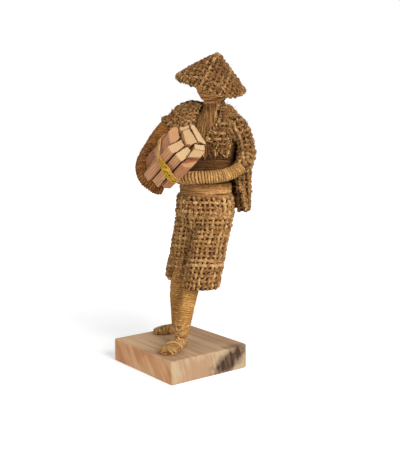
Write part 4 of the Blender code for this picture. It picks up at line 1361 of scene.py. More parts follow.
def dress(piece: Piece, slot: Slot, *nodes: str) -> None:
    """Lets a piece stand for CAD nodes and ride on the body.

    Args:
        piece: The finished piece.
        slot: Material slot of the record; not used.
        *nodes: CAD nodes that it replaces.
    """
    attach(piece, BODY)
    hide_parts(*nodes)
    LOG.info("%s: %d faces", piece.name, len(piece.data.polygons))


def backing_sheet(name: str, chart: Chart, width: float, length: float) -> Piece:
    """Thin matted sheet under the yarns of a garment, whose dark colour is painted shade in the holes of the
    weave.

    Args:
        name: Name of the piece.
        chart: Plan of the garment.
        width: Width of the cut.
        length: Length of the cut.

    Returns:
        The piece, cut to the chart's outline.
    """
    face_size, fewest, sink, thickness, last_share = 1.6 * MM, 8, 0.45 * MM, 0.35 * MM, 0.9999
    columns, rows = [max(fewest, round(size / face_size)) for size in (width, length)]
    bm = bmesh.new()
    flat = bm.loops.layers.uv.new(CLOTH_MAP)
    bmesh.ops.create_grid(bm, x_segments=columns, y_segments=rows, size=0.5)
    plan: dict[int, tuple[float, float]] = {}
    lost = []
    bm.verts.index_update()
    for vert in bm.verts:
        place = chart.place(clamp(vert.co.x + 0.5), clamp(vert.co.y + 0.5, 0.0, last_share))
        found = chart.at(*place)
        plan[vert.index] = place
        if found is None:
            lost.append(vert)
        else:
            vert.co = found[0] - found[1] * sink
    for face in bm.faces:
        for loop in face.loops:
            loop[flat].uv = plan[loop.vert.index]
    bmesh.ops.delete(bm, geom=lost, context="VERTS")
    bmesh.ops.remove_doubles(bm, verts=bm.verts, dist=CLOTH_MERGE)
    piece = piece_of(name, bm, SHADE_BACKING.material())
    for face in piece.data.polygons:
        face.use_smooth = True
    wall = piece.modifiers.new("wall", "SOLIDIFY")
    wall.thickness = thickness
    wall.offset = 0.0
    return piece


def sew(
    name: str, chart: Chart, weave: Weave, seed: int,
    nodes: Sequence[str], flat: Optional[Pair] = None, selvage: int = 0,
    finish: StrandFinish = COAT_BURLAP,
) -> None:
    """Makes a garment: its woven yarns and the matted sheet between them, dark as painted shade in the holes
    of the weave.

    Args:
        name: Name of the garment.
        chart: Plan of the garment.
        weave: How it is woven.
        seed: Its seed.
        nodes: CAD nodes that it replaces.
        flat: Width and length of the cut, where the chart doesn't give them.
        selvage: Light strands along each side edge.
        finish: Finish of its yarns.
    """
    stray, stray_rate = 1.3 * MM, 60.0
    skein = Skein(weave.yarn, seed)
    weave.lay(chart, skein)
    woven = skein.piece(name + "_yarns", finish)
    loose = Skein(LOOSE_STRAND, seed + LOOSE_SEED)
    for edge in chart.edges():
        for _ in range(selvage):
            sway = UP * loose.dice.uniform(0.0, 40.0)
            loose.lay([spot + noise.noise_vector(spot * stray_rate + sway) * stray for spot in edge])
    shed(skein, loose, count=280)
    dress(loose.piece(name + "_loose", LOOSE), Slot.BURLAP, *nodes)
    left, right, low, high = chart.reach()
    width, length = flat or (right - left, high - low)
    backing = backing_sheet(name + "_cloth", chart, width, length)
    dress(woven, Slot.BURLAP, *nodes)
    dress(backing, Slot.BURLAP, *nodes)
    min(chart.area(), width * length)


def shed(skein: Skein, loose: Skein, count: int, longest: float = 5.0 * MM) -> None:
    """Lets loose fibres stand off the strands of a skein.

    Args:
        skein: Strands that shed.
        loose: Where the fibres go.
        count: How many there are.
        longest: Greatest length of one.
    """
    dice = loose.dice
    shares = [step / 4.0 for step in range(5)]
    for _ in range(count):
        spot = dice.choice(dice.choice(skein.strands).points)
        way = Vector([dice.gauss(0.0, 1.0) for _ in range(3)]).normalized()
        bend = Vector([dice.uniform(-0.45, 0.45) for _ in range(3)])
        span = longest * dice.uniform(0.35, 1.0)
        line = [spot + (way + bend * share) * (span * share) for share in shares]
        loose.lay(line, width=dice.uniform(0.14, 0.26))


def core_of(name: str, node: str, shrink: float) -> Piece:
    """Dark core under a winding, made from the CAD node's own shape.

    Args:
        name: Name of the piece.
        node: CAD node that it follows.
        shrink: How far it lies inside that node.

    Returns:
        The piece.
    """
    bm = merged_copy(node)
    bm.normal_update()
    for vert, way in [(vert, vert.normal.copy()) for vert in bm.verts]:
        vert.co -= way * shrink
    piece = piece_of(name, bm, CORE.material())
    piece.data.uv_layers.new(name=CLOTH_MAP)
    return piece


def coil(
    surface: Surface, line: Centreline, pitch: float, sink: float, reach: float, samples: int = 20,
    begin: float = 0.0, uneven: float = 0.25 * MM, seed: int = 0,
) -> list[Vector]:
    """Line of a strand wound round a limb.

    Args:
        surface: Surface of the limb.
        line: Its middle line.
        pitch: Advance of one turn.
        sink: How far the strand's middle lies inside the surface.
        reach: More than the limb's radius.
        samples: Points of one turn.
        begin: Share of the line at which it starts.
        uneven: How far turns stray along the limb.
        seed: Seed of the straying.

    Returns:
        Points of the winding.
    """
    stray_rate, least = 0.11, 0.6 * MM
    points: list[Vector] = []
    low = begin * line.length()
    count = int((line.length() - low) / pitch * samples)
    for step in range(count + 1):
        run = low + pitch * step / samples
        run += uneven * noise.noise(Vector((seed, step * stray_rate, 2.0)))
        spot, side, other = line.at(clamp(run, 0.0, line.length()))
        way = toward(side, other, tau * step / samples)
        hit = surface.outermost(spot, way, reach)
        if hit is not None:
            points.append(spot + way * max((hit - spot).length - sink, least))
    return points


def refinish(node: str, finish: Material) -> None:
    """Shows a CAD node with another finish.

    Args:
        node: Name of the node.
        finish: Its material.
    """
    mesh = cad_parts[node].data
    mesh.materials.clear()
    mesh.materials.append(finish)
    LOG.info("%s: CAD node, new finish", node)


@dataclass
class Block:
    """Sawn wooden block that the figure stands on."""

    def build(self) -> None:
        """Gives the block its finish."""
        refinish("base_block", BLOCK.material())


@dataclass
class Wires:
    """Bent wires inside the figure."""

    names: tuple[str, ...] = ("left_leg_wire", "right_leg_wire", "spine_wire", "arm_wire")

    def build(self) -> None:
        """Gives the wires their finish."""
        finish = WIRE.material()
        for name in self.names:
            refinish(name, finish)


TWINE_YARN = Yarn.smooth(1.1 * MM, 8, 0.16)


@dataclass
class Limb:
    """A limb wound with twine over its core."""

    name: str
    node: str
    start: Vector
    heading: Vector
    reach: float
    seed: int
    finish: StrandFinish
    swell: float
    begin: float = 0.0
    yarn: Yarn = TWINE_YARN
    pitch: float = 2.1 * MM
    pith: float = 0.0
    bend: Vector = field(default_factory=Vector)
    bend_end: float = 0.7
    tip: Vector = field(default_factory=Vector)
    tip_start: float = 0.72
    length_points: int = 150
    overlap: int = 3
    loose_count: int = 90
    core_seed: int = 900
    tones: Pair = (0.4, 0.7)
    sink_share: float = 0.35
    core_share: float = 0.55

    def build(self) -> None:
        """Winds the limb and sets its core under the twine."""
        surface = Surface(self.node)
        line = Centreline.inside(surface, self.start, self.heading, self.reach)
        skein = Skein(self.yarn, self.seed)
        sink = self.yarn.radius * self.sink_share - self.swell
        points = coil(surface, line, self.pitch, sink, self.reach, begin=self.begin, seed=self.seed)
        points = self.bent(points)
        for first in range(0, len(points), self.length_points):
            last = first + self.length_points + self.overlap
            skein.lay(points[max(0, first - self.overlap):last], skein.dice.uniform(*self.tones))
        wound = skein.piece(self.name, self.finish)
        dress(wound, Slot.TWINE, self.node)
        loose = Skein(LOOSE_STRAND, self.seed + LOOSE_SEED)
        shed(skein, loose, self.loose_count)
        dress(loose.piece(self.name + "_loose", LOOSE), Slot.TWINE, self.node)
        dress(self.core(line), Slot.TWINE, self.node)

    def bent(self, points: Sequence[Vector]) -> list[Vector]:
        """Moves points along the limb by its bend, which fades out at both ends, and by its tip's own bend.

        Args:
            points: Points from the winding's start to its end.

        Returns:
            The moved points.
        """
        moved = []
        for step, point in enumerate(points):
            run = self.begin + (1.0 - self.begin) * step / len(points)
            share = run / self.bend_end
            bend = self.bend * (sin(pi * share ** 0.8) if share < 1.0 else 0.0)
            last = max(run - self.tip_start, 0.0) / (1.0 - self.tip_start)
            moved.append(point + bend + self.tip * last ** 2)
        return moved

    def core(self, line: Centreline) -> Piece:
        """Core under the twine: a straight hank where the limb starts in a sleeve, else the CAD node's shape.

        Args:
            line: Middle line of the limb.

        Returns:
            The piece.
        """
        name = self.name + "_core"
        if not self.pith:
            return core_of(name, self.node, self.yarn.radius * self.core_share - self.swell)
        hank = Skein(Yarn.smooth(self.pith, 14, 0.0), self.seed + self.core_seed)
        hank.lay(self.bent(line.spots[round(self.begin * len(line.spots)):]))
        return hank.piece(name, self.finish)


@dataclass
class Limbs:
    """Legs, feet and arms."""

    calf_swell: float = 0.9 * MM
    arm_pith: float = 4.4 * MM
    arm_swell: float = 0.5 * MM
    left_begin: float = 0.33
    right_begin: float = 0.12
    left_tip: Vector = spot_mm(-1.5, -11.0, 1.0)
    right_bend: Vector = spot_mm(2.2, 2.9, 0.0)
    crossings: int = 16
    turn_steps: int = 24
    turn_overlap: int = 3
    crossing_widths: Pair = (0.6, 0.95)
    foot_steps: int = 12
    foot_pitch: float = 2.0 * MM
    foot_sink: float = 0.8 * MM
    foot_reach: float = 14.0 * MM
    foot_uneven: float = 0.4 * MM
    foot_core_depth: float = 0.6 * MM
    ankle_height: float = 4.5 * MM
    ankle_radius: float = 5.6 * MM
    ankle_most: float = 1.5
    ankle_reach: float = 11.0 * MM
    block_top: float = 22.0 * MM
    block_gap: float = 0.7 * MM
    arm_reach: float = 10.0 * MM
    arm_start: float = 0.8 * MM
    leg_reach: float = 14.0 * MM
    leg_start: float = 0.5 * MM
    right_root: Vector = spot_mm(-10.2, 18.2, 235.0)
    left_root: Vector = spot_mm(33.4, 45.4, 235.0)
    lateral: Vector = way_field(0.848, 0.53, 0.0)
    left_toe: Vector = spot_mm(30.5, -38.5, 25.0)
    right_toe: Vector = spot_mm(-37.5, -5.0, 25.0)
    left_heel: Vector = spot_mm(12.7, -5.9, 27.0)
    right_heel: Vector = spot_mm(-23.3, 19.9, 27.0)
    first_seed: int = 11
    seed_step: int = 10
    foot_seed: int = 41

    def build(self) -> None:
        """Winds every limb."""
        sides = (
            ("left", self.left_root, 1.0, TWINE, self.left_begin, Vector(), self.left_tip),
            # The right arm takes the darker twine, painted shade.
            ("right", self.right_root, -1.0, SHADED_BROWN_TWINE, self.right_begin, self.right_bend, Vector()),
        )
        for number, (side, root, out, finish, begin, bend, tip) in enumerate(sides):
            leg_node = side + "_leg_wrap"
            seed = self.first_seed + self.seed_step * number
            # The legs take the lighter twine, painted light against the trousers' shade.
            Limb(
                name=side + "_lit_leg_twine", node=leg_node,
                start=Surface(leg_node).lowest_middle() + UP * self.leg_start, heading=UP,
                reach=self.leg_reach, seed=seed, finish=LIT_LEG_TWINE, swell=self.calf_swell,
            ).build()
            way = self.lateral * out
            Limb(
                name=side + "_arm_twine", node=side + "_arm_wrap", start=root + way * self.arm_start,
                heading=way, reach=self.arm_reach, seed=seed + 1, finish=finish, swell=self.arm_swell,
                begin=begin, pith=self.arm_pith, bend=bend, tip=tip,
            ).build()
        self.foot("left", self.left_heel, self.left_toe, self.foot_seed)
        self.foot("right", self.right_heel, self.right_toe, self.foot_seed + 1)

    def turns(self) -> list[float]:
        """Turns of one crossing, which overlaps itself."""
        return [tau * step / self.turn_steps for step in range(self.turn_steps + self.turn_overlap)]

    def foot(self, side: str, heel: Vector, toe: Vector, seed: int) -> None:
        """Winds a foot from heel to toe, and binds it to the ankle with crossing turns.

        Args:
            side: Which foot.
            heel: Middle of its heel.
            toe: Middle of its toe end.
            seed: Its seed.
        """
        node = side + "_foot_wrap"
        surface = Surface(node)
        spots = [heel.lerp(toe, step / self.foot_steps) for step in range(self.foot_steps + 1)]
        line = Centreline.through(spots, UP)
        skein = Skein(TWINE_YARN, seed)
        size = (self.foot_pitch, self.foot_sink, self.foot_reach)
        skein.lay(coil(surface, line, *size, samples=18, uneven=self.foot_uneven, seed=seed))
        dice = skein.dice
        for _ in range(self.crossings):
            middle = line.length() * dice.uniform(0.1, 0.92)
            swing = dice.uniform(-7.0, 7.0) * MM
            rise = dice.uniform(-0.3, 0.9) * MM
            points = []
            for turn in self.turns():
                spot, across, other = line.at(clamp(middle + swing * sin(turn), 0.0, line.length()))
                way = toward(across, other, turn)
                hit = surface.outermost(spot, way, self.foot_reach)
                if hit is not None:
                    points.append(self.above_block(hit + way * rise))
            skein.lay(points, width=dice.uniform(*self.crossing_widths))
        self.ankle(side, surface, skein)
        dress(skein.piece(side + "_foot_twine", TWINE), Slot.TWINE, node)
        dress(core_of(side + "_foot_core", node, self.foot_core_depth), Slot.TWINE, node)

    def ankle(self, side: str, foot: Surface, skein: Skein) -> None:
        """Lays crossing turns round an ankle.

        Args:
            side: Which ankle.
            foot: Surface of the foot under it.
            skein: Where the turns go.
        """
        dice = skein.dice
        leg = Surface(side + "_leg_wrap")
        heart = leg.lowest_middle() + UP * self.ankle_height
        for _ in range(self.crossings):
            hinge = Vector((dice.gauss(0.0, 1.0), dice.gauss(0.0, 1.0), 0.0)).normalized()
            tip = Quaternion(hinge, dice.uniform(0.1, 1.0))
            lift = dice.uniform(-0.2, 0.7) * MM
            drop = UP * dice.uniform(-2.5, 4.0) * MM
            points = []
            for turn in self.turns():
                way = tip @ level_way(turn)
                hits = [surface.outermost(heart + drop, way, self.ankle_reach) for surface in (leg, foot)]
                reach = max([(hit - heart - drop).length for hit in hits if hit is not None], default=0.0)
                reach = clamp(reach, self.ankle_radius, self.ankle_most * self.ankle_radius)
                points.append(self.above_block(heart + drop + way * (reach + lift)))
            skein.lay(points, width=dice.uniform(*self.crossing_widths))

    def above_block(self, spot: Vector) -> Vector:
        """The spot, raised where it would lie in the block."""
        return Vector((spot.x, spot.y, max(spot.z, self.block_top + self.block_gap)))


BODY_YARN = Yarn.smooth(0.75 * MM, 6)
SASH_YARN = Yarn.smooth(0.8 * MM, 8)
TROUSER_PANELS = ("trousers_left_panel", "trousers_right_panel")


@dataclass(frozen=True)
class Winding:
    """Strands wound round an upright piece, lifted by those underneath or dropped over the trousers."""

    node: str
    name: str
    pitch: float
    reach: float
    yarn: Yarn
    seed: int
    finish: StrandFinish
    begin: float = 0.0
    lift: float = 0.0
    drop: float = 0.0
    uneven: float = 1.3 * MM
    samples: int = 30
    length_points: int = 75
    before: int = 6
    after: int = 5
    first_share: float = 0.02
    span_share: float = 0.96
    sink_share: float = 0.4
    core_share: float = 0.2

    def build(self) -> None:
        """Winds the strands and sets the core under them."""
        surface = Surface(self.node, *(TROUSER_PANELS if self.drop else ()))
        low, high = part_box(self.node)
        low.z -= self.drop
        middle = (low + high) / 2.0
        spots = []
        for step in range(self.samples + 1):
            height = low.z + (high.z - low.z) * (self.first_share + self.span_share * step / self.samples)
            spots.append(self.centred(surface, Vector((middle.x, middle.y, height))))
        line = Centreline.through(spots)
        sink = self.yarn.radius * self.sink_share - self.lift
        size = (self.pitch, sink, self.reach, self.samples, self.begin, self.uneven)
        points = coil(surface, line, *size, self.seed)
        skein = Skein(self.yarn, self.seed)
        for first in range(0, len(points), self.length_points):
            skein.lay(points[max(0, first - self.before):first + self.length_points + self.after])
        dress(skein.piece(self.name, self.finish), Slot.FIBRE, self.node)
        core = core_of(self.name + "_core", self.node, self.yarn.radius * self.core_share - self.lift)
        dress(core, Slot.FIBRE, self.node)

    def centred(self, surface: Surface, spot: Vector) -> Vector:
        """Middle of the piece at the height of a spot.

        Args:
            surface: Surface of the piece.
            spot: A spot inside it.

        Returns:
            The middle, or the spot where too few rays meet the piece.
        """
        rays, enough = 24, 20
        ways = [level_way(tau * step / rays) for step in range(rays)]
        hits = surface.met(spot, ways, self.reach)
        return mean(hits) if len(hits) > enough else spot


@dataclass
class Trunk:
    """Wound body, neck, head and sash."""

    windings: tuple[Winding, ...] = (
        # The body's winding is dark as painted shade; the neck and head take the pale fibre, lightened as
        # painted light against the hat's shade.
        Winding("torso_core", "torso_winding", 1.35 * MM, 45.0 * MM, BODY_YARN, 61, FIBRE, begin=0.25),
        Winding("neck_wrap", "neck_winding", 1.1 * MM, 16.0 * MM, BODY_YARN, 62, LIT_PALE_FIBRE, lift=1.0 * MM),
        Winding("head", "head_winding", 1.35 * MM, 28.0 * MM, BODY_YARN, 63, LIT_PALE_FIBRE, lift=1.2 * MM),
        Winding("waist_sash", "sash_strands", 1.2 * MM, 45.0 * MM, SASH_YARN, 64, SASH_FIBRE, drop=3.5 * MM),
    )
    comb: Yarn = Yarn.smooth(0.6 * MM, 6)
    comb_reach: float = 45.0 * MM
    comb_seed: int = 66
    comb_count: int = 190
    comb_spread: Pair = (-95.0, 24.0)
    comb_turns: Pair = (8.0, 42.0)
    comb_feet: Pair = (196.0, 218.0)
    comb_steps: int = 24
    comb_ease: int = 8
    pale_count: int = 12
    pale_spread: Pair = (-30.0, 30.0)
    chest_top: float = 251.0 * MM
    neck_foot: Vector = spot_mm(13.5, 30.4, 243.0)
    chest_heart: Vector = spot_mm(11.2, 27.6, 212.0)
    ahead: Vector = way_field(0.53, -0.848, 0.0)
    left: Vector = way_field(0.848, 0.53, 0.0)

    def build(self) -> None:
        """Winds the body, neck, head and sash, and combs the chest."""
        for winding in self.windings:
            winding.build()
        self.chest()

    def chest(self) -> None:
        """Lays combed strands from the neck down across the chest, brown ones under a few pale ones."""
        surface = Surface("torso_core", "neck_wrap")
        for name, finish, count, spread in (
            ("chest_strands", DULL_FIBRE, self.comb_count, self.comb_spread),
            ("pale_chest_strands", LIT_PALE_FIBRE, self.pale_count, self.pale_spread),
        ):
            skein = Skein(self.comb, self.comb_seed + count)
            dice = skein.dice
            for _ in range(count):
                start = radians(dice.uniform(*spread))
                turned = radians(dice.uniform(*self.comb_turns))
                foot = dice.uniform(*self.comb_feet) * MM
                rise = dice.uniform(0.0, 1.0) * MM
                skein.lay(self.comb_line(surface, start, turned, foot, rise))
            dress(skein.piece(name, finish), Slot.FIBRE, "torso_core")

    def comb_line(
        self, surface: Surface, start: float, turned: float, foot: float, rise: float
    ) -> list[Vector]:
        """Line of a strand from the neck down over the chest.

        Args:
            surface: Neck and body.
            start: Turn from straight ahead at which it starts.
            turned: How far it turns on its way down.
            foot: Height at which it ends.
            rise: How far it lies off the surface.

        Returns:
            Points of the line.
        """
        middles, ways, radii = [], [], []
        drop = self.neck_foot.z - self.chest_heart.z
        for step in range(self.comb_steps + 1):
            share = step / self.comb_steps
            height = self.chest_top + (foot - self.chest_top) * share
            middle = self.neck_foot.lerp(self.chest_heart, (self.neck_foot.z - height) / drop)
            way = toward(self.ahead, self.left, start + turned * share)
            hit = surface.outermost(middle, way, self.comb_reach)
            if hit is not None:
                middles.append(middle)
                ways.append(way)
                radii.append((hit - middle).length)
        eased = np.array(radii)
        for _ in range(self.comb_ease):
            eased[1:-1] = np.maximum(softened(eased), eased[1:-1])
        return [middle + way * (float(radius) + rise) for middle, way, radius in zip(middles, ways, eased)]


@dataclass
class Clothes:
    """Burlap trousers, jacket and hat."""

    weave: Weave = Weave(Yarn(1.62 * MM, plies=2, furrow=0.26, lay=6.5 * MM, sides=8, slub=0.27))
    hip_turn: float = 15.0
    hip_out: float = 9.0 * MM
    leg_top: float = 132.0 * MM
    leg_rows: int = 34
    left_hem: Vector = spot_mm(18.4, 10.8, 77.0)
    right_hem: Vector = spot_mm(-21.0, 18.6, 79.5)
    chest_turn: float = 32.0
    hat_half_angle: float = 49.0
    hat_slant: float = 43.5 * MM
    hat_droop: float = 4.5 * MM
    hat_tilt: float = 20.0
    hat_tilt_turn: float = 3.0
    hat_seam: Vector = way_field(-0.6, 0.8, 0.0)
    crotch: float = 144.0 * MM
    crotch_lap: float = 3.0 * MM
    yoke_height: float = 214.0 * MM
    yoke_depth: float = 22.5 * MM
    yoke_reach: float = 42.0 * MM
    yoke_step: float = 3.0
    left_lean: float = radians(24.0)
    right_lean: float = radians(-8.0)
    left_spread: float = radians(60.0)
    right_spread: float = radians(72.0)
    left_yoke: Outline = ((3.0, 38.4), (28.0, 37.0), (50.0, 35.6), (74.0, 37.0))
    right_yoke: Outline = (
        (10.0, 37.0), (16.0, 43.0), (24.0, 48.0), (34.0, 49.5), (44.0, 48.5), (60.0, 43.5), (74.0, 37.0),
    )
    sleeve_radius: float = 6.3 * MM
    hollow_top: float = 214.0 * MM
    hollow_width: float = 24.5 * MM
    hollow_slope: float = 0.15
    lapel_inside: float = 6.0 * MM
    right_back: float = 4.8 * MM
    right_back_way: Vector = way_field(-0.79, 0.61, 0.0)
    right_back_fade: float = 22.0 * MM
    left_sleeve: tuple[Triple, ...] = (
        (33.5, 39.7, 233.5), (37.7, 40.3, 229.0), (41.2, 41.7, 223.4), (43.2, 42.5, 217.9),
        (45.4, 43.1, 211.5), (47.2, 42.2, 205.2), (48.6, 40.5, 199.7), (49.3, 37.4, 194.6),
        (49.1, 32.9, 190.5),
    )
    right_sleeve: tuple[Triple, ...] = (
        (-12.2, 17.0, 234.0), (-15.9, 10.6, 235.0), (-18.2, 5.4, 234.0), (-20.2, 1.2, 231.0),
        (-20.9, -1.2, 228.4),
    )
    row_gap: float = 2.0 * MM
    jacket_gap: float = 2.5 * MM
    jacket_rows: int = 12
    edge_gap: float = 0.3 * MM
    tail_rows: int = 16
    tail_columns: int = 12
    tail_wave: float = 1.5 * MM
    tail_wave_rate: float = 60.0
    tail_top: tuple[Triple, Triple] = ((35.0, 36.0, 196.0), (47.4, 48.6, 196.0))
    tail_hem: tuple[Triple, Triple] = ((38.4, 40.2, 149.0), (47.0, 48.1, 151.2))
    spine_foot: Vector = spot_mm(10.5, 21.5, 140.0)
    spine_waist: Vector = spot_mm(9.8, 22.8, 171.0)
    spine_chest: Vector = spot_mm(11.2, 27.6, 212.0)
    spine_neck: Vector = spot_mm(13.5, 30.4, 243.0)

    def build(self) -> None:
        """Makes every garment."""
        self.trousers("left", sign=1.0, hem=self.left_hem, seed=71)
        self.trousers("right", sign=-1.0, hem=self.right_hem, seed=72)
        self.hips()
        self.jacket()
        self.hat()

    @staticmethod
    def facing(turn: float) -> Vector:
        """Direction to the figure's left at a turn of the body in degrees."""
        return level_way(radians(turn))

    def spine(self, height: float) -> Vector:
        """Middle of the body at a height."""
        stops = (self.spine_foot, self.spine_waist, self.spine_chest, self.spine_neck)
        for low, high in zip(stops, stops[1:]):
            if height <= high.z:
                return low.lerp(high, (height - low.z) / (high.z - low.z))
        return Vector((stops[-1].x, stops[-1].y, height))

    def trousers(self, side: str, sign: float, hem: Vector, seed: int) -> None:
        """Makes one panel of the trousers.

        Args:
            side: Which panel.
            sign: 1 on the figure's left and -1 on its right.
            hem: Middle of its hem.
            seed: Its seed.
        """
        node = f"trousers_{side}_panel"
        low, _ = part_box(node)
        out = self.facing(self.hip_turn) * sign
        hip = self.spine_waist + out * self.hip_out
        top = Vector((hip.x, hip.y, self.leg_top))
        levels = []
        for step in range(self.leg_rows + 1):
            height = low.z + self.edge_gap + (self.crotch + self.crotch_lap - low.z) * step / self.leg_rows
            middle = hem.lerp(top, clamp((height - hem.z) / (self.leg_top - hem.z)))
            middle.z = height
            levels.append(Level(middle, out, UP.cross(out), reach=45.0 * MM))
        chart = Chart.round(Surface(node), levels, lift=-1.5 * MM, slack=0.9 * MM)
        if side == "right":
            self.push_back(chart)
        sew(f"trousers_{side}", chart, self.weave, seed, [node], finish=BURLAP)

    def push_back(self, chart: Chart) -> None:
        """Moves the right leg of the trousers behind the left one, up to the crotch.

        Args:
            chart: Plan of the right leg.
        """
        behind = self.right_back_way * self.right_back
        for row in chart.rows:
            for step, spot in enumerate(row.spots):
                if spot is not None:
                    row.spots[step] = spot + behind * clamp((self.crotch - spot.z) / self.right_back_fade)

    def hips(self) -> None:
        """Makes the upper part of the trousers, where both panels are sewn together."""
        surface = Surface(*TROUSER_PANELS)
        top = max(corner.z for corner in surface.corners)
        zero = -self.facing(self.hip_turn).cross(UP)
        levels = []
        height = self.crotch
        while height < top - self.edge_gap:
            levels.append(Level(self.spine(height), zero, UP.cross(zero), reach=60.0 * MM))
            height += self.row_gap
        chart = Chart.round(surface, levels, lift=-0.6 * MM, slack=0.9 * MM, whole=True, ease=3)
        sew("trousers_hips", chart, self.weave, 73, TROUSER_PANELS, finish=BURLAP)

    def jacket(self) -> None:
        """Makes the back, the fronts and the sleeves of the jacket."""
        left = self.facing(self.chest_turn)
        ahead = left.cross(UP)
        for name, reference, seed in (
            ("jacket_back", -ahead, 81),
            ("jacket_left_front", (left * 0.75 + ahead * 0.66).normalized(), 82),
            ("jacket_right_front", (-left * 0.75 + ahead * 0.66).normalized(), 83),
        ):
            low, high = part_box(name)
            count = max(self.jacket_rows, round((high.z - low.z) / self.jacket_gap))
            levels = []
            for step in range(count + 1):
                height = low.z + self.edge_gap + (high.z - low.z - 2.0 * self.edge_gap) * step / count
                levels.append(Level(self.spine(height), reference, UP.cross(reference), reach=70.0 * MM))
            chart = Chart.round(Surface(name), levels, lift=-0.9 * MM, slack=0.7 * MM, steps=90)
            if name == "jacket_left_front":
                self.cut_back(chart, left)
            sew(name, chart, self.weave, seed, [name], selvage=3)
        self.sleeve("left", self.left_sleeve, seed=84)
        self.sleeve("right", self.right_sleeve, seed=85)
        left_way = toward(left, -ahead, self.left_lean)
        right_way = toward(-left, ahead, self.right_lean)
        self.yoke("left", left_way, self.left_spread, self.left_yoke, seed=86, finish=COAT_BURLAP)
        # Painted light: the right shoulder, which faces away from the key lamp, takes the lighter trouser
        # burlap instead of the coat's.
        self.yoke("right", right_way, self.right_spread, self.right_yoke, seed=87, finish=BURLAP)
        self.tail()

    def cut_back(self, chart: Chart, left: Vector) -> None:
        """Cuts the lower part of the left front to a point, which leaves a hollow beside the sleeve.

        Args:
            chart: Plan of the left front.
            left: Direction to the figure's left.
        """
        for row in chart.rows:
            for step, spot in enumerate(row.spots):
                if spot is not None and spot.z < self.hollow_top:
                    below = self.hollow_top - spot.z
                    aside = (spot - self.spine(spot.z)).dot(left)
                    if not self.lapel_inside + below < aside < self.hollow_width - below * self.hollow_slope:
                        row.spots[step] = None
        held = [index for index, row in enumerate(chart.rows) if row.span()]
        chart.stations = [chart.stations[index] - chart.stations[held[0]] for index in held]
        chart.rows = [chart.rows[index] for index in held]

    def sleeve(self, side: str, spots: Sequence[Triple], seed: int) -> None:
        """Makes a sleeve.

        Args:
            side: Which sleeve.
            spots: Its middle line in mm.
            seed: Its seed.
        """
        line = Centreline.through([Vector(spot) * MM for spot in spots], UP)
        radius = self.sleeve_radius
        levels = []
        run = 0.0
        while run < line.length():
            levels.append(Level(*line.at(run), reach=1.0 * MM, least=radius, depth=radius))
            run += self.row_gap
        chart = Chart.round(Surface(), levels, lift=0.0, slack=0.8 * MM, steps=30, whole=True)
        node = f"jacket_{side}_sleeve"
        sew(node, chart, self.weave, seed, [node])

    def yoke(
        self, side: str, zero: Vector, spread: float, outline: Outline, seed: int, finish: StrandFinish
    ) -> None:
        """Makes the cloth over a shoulder, from the collar down over the top of the sleeve.

        Args:
            side: Which shoulder.
            zero: Direction of its middle line from the chest.
            spread: How far it goes to each side of that.
            outline: Angles above the level in degrees, with the distance from the chest at each in mm.
            seed: Its seed.
            finish: Finish of its yarns.
        """
        heart = self.spine(self.yoke_height)
        angles, distances = zip(*outline)
        levels = []
        rise = angles[0]
        while rise <= angles[-1]:
            least = float(np.interp(rise, angles, distances)) * MM
            shape = (spread, radians(rise), least, self.yoke_depth)
            levels.append(Level(heart, zero, UP.cross(zero), self.yoke_reach, *shape))
            rise += self.yoke_step
        surface = Surface("torso_core", "jacket_back", f"jacket_{side}_front")
        chart = Chart.round(surface, levels, lift=0.0, slack=1.0 * MM, steps=45, whole=True, ease=4)
        name, node = f"jacket_{side}_yoke", f"jacket_{side}_sleeve"
        sew(name, chart, self.weave, seed, [node], finish=finish)

    def tail(self) -> None:
        """Makes the jacket's tail that hangs at the left hip."""
        rows, stations = [], []
        inner_top, outer_top = [Vector(corner) for corner in self.tail_top]
        inner_hem, outer_hem = [Vector(corner) for corner in self.tail_hem]
        outward = (outer_top - inner_top).cross(-UP).normalized()
        shares = [across / self.tail_columns for across in range(self.tail_columns + 1)]
        for step in range(self.tail_rows + 1):
            inner = inner_hem.lerp(inner_top, step / self.tail_rows) * MM
            outer = outer_hem.lerp(outer_top, step / self.tail_rows) * MM
            spots = []
            for share in shares:
                spot = inner.lerp(outer, share)
                spots.append(spot + outward * (self.tail_wave * noise.noise(spot * self.tail_wave_rate)))
            width = (outer - inner).length
            rows.append(Row([width * (share - 0.5) for share in shares], spots, [outward] * len(shares)))
            stations.append((inner - inner_hem * MM).length)
        chart = Chart(rows, stations)
        sew("jacket_tail", chart, self.weave, 88, ["jacket_back"], selvage=6)

    def hat(self) -> None:
        """Makes the hat."""
        axis = toward(UP, self.facing(self.hat_tilt_turn), radians(self.hat_tilt))
        corners = Surface("hat").corners
        middle = mean(corners)
        crown = max((corner - middle).dot(axis) for corner in corners)
        half = radians(self.hat_half_angle)
        tip = middle + axis * (crown + 0.03 * self.hat_slant * cos(half) - 0.9 * MM)
        chart = ConeChart(tip, axis, self.hat_seam, half, self.hat_slant, self.hat_droop)
        size = (2.0 * self.hat_slant, 2.0 * self.hat_slant)
        sew("hat_burlap", chart, self.weave, 91, ["hat"], flat=size, selvage=2)


PINK_TINT = StickTint(srgb(202, 146, 106), srgb(160, 106, 70), srgb(180, 136, 95))
CREAM_TINT = StickTint(srgb(212, 160, 116), srgb(172, 122, 82), srgb(190, 159, 116))
PALE_TINT = StickTint(srgb(214, 166, 122), srgb(176, 128, 88), srgb(199, 170, 126))
# Painted shade: the middle stick, sunk among the others, is tinted dark brown.
SHADED_CORE_TINT = StickTint(srgb(96, 64, 42), srgb(72, 48, 30), srgb(106, 74, 48))


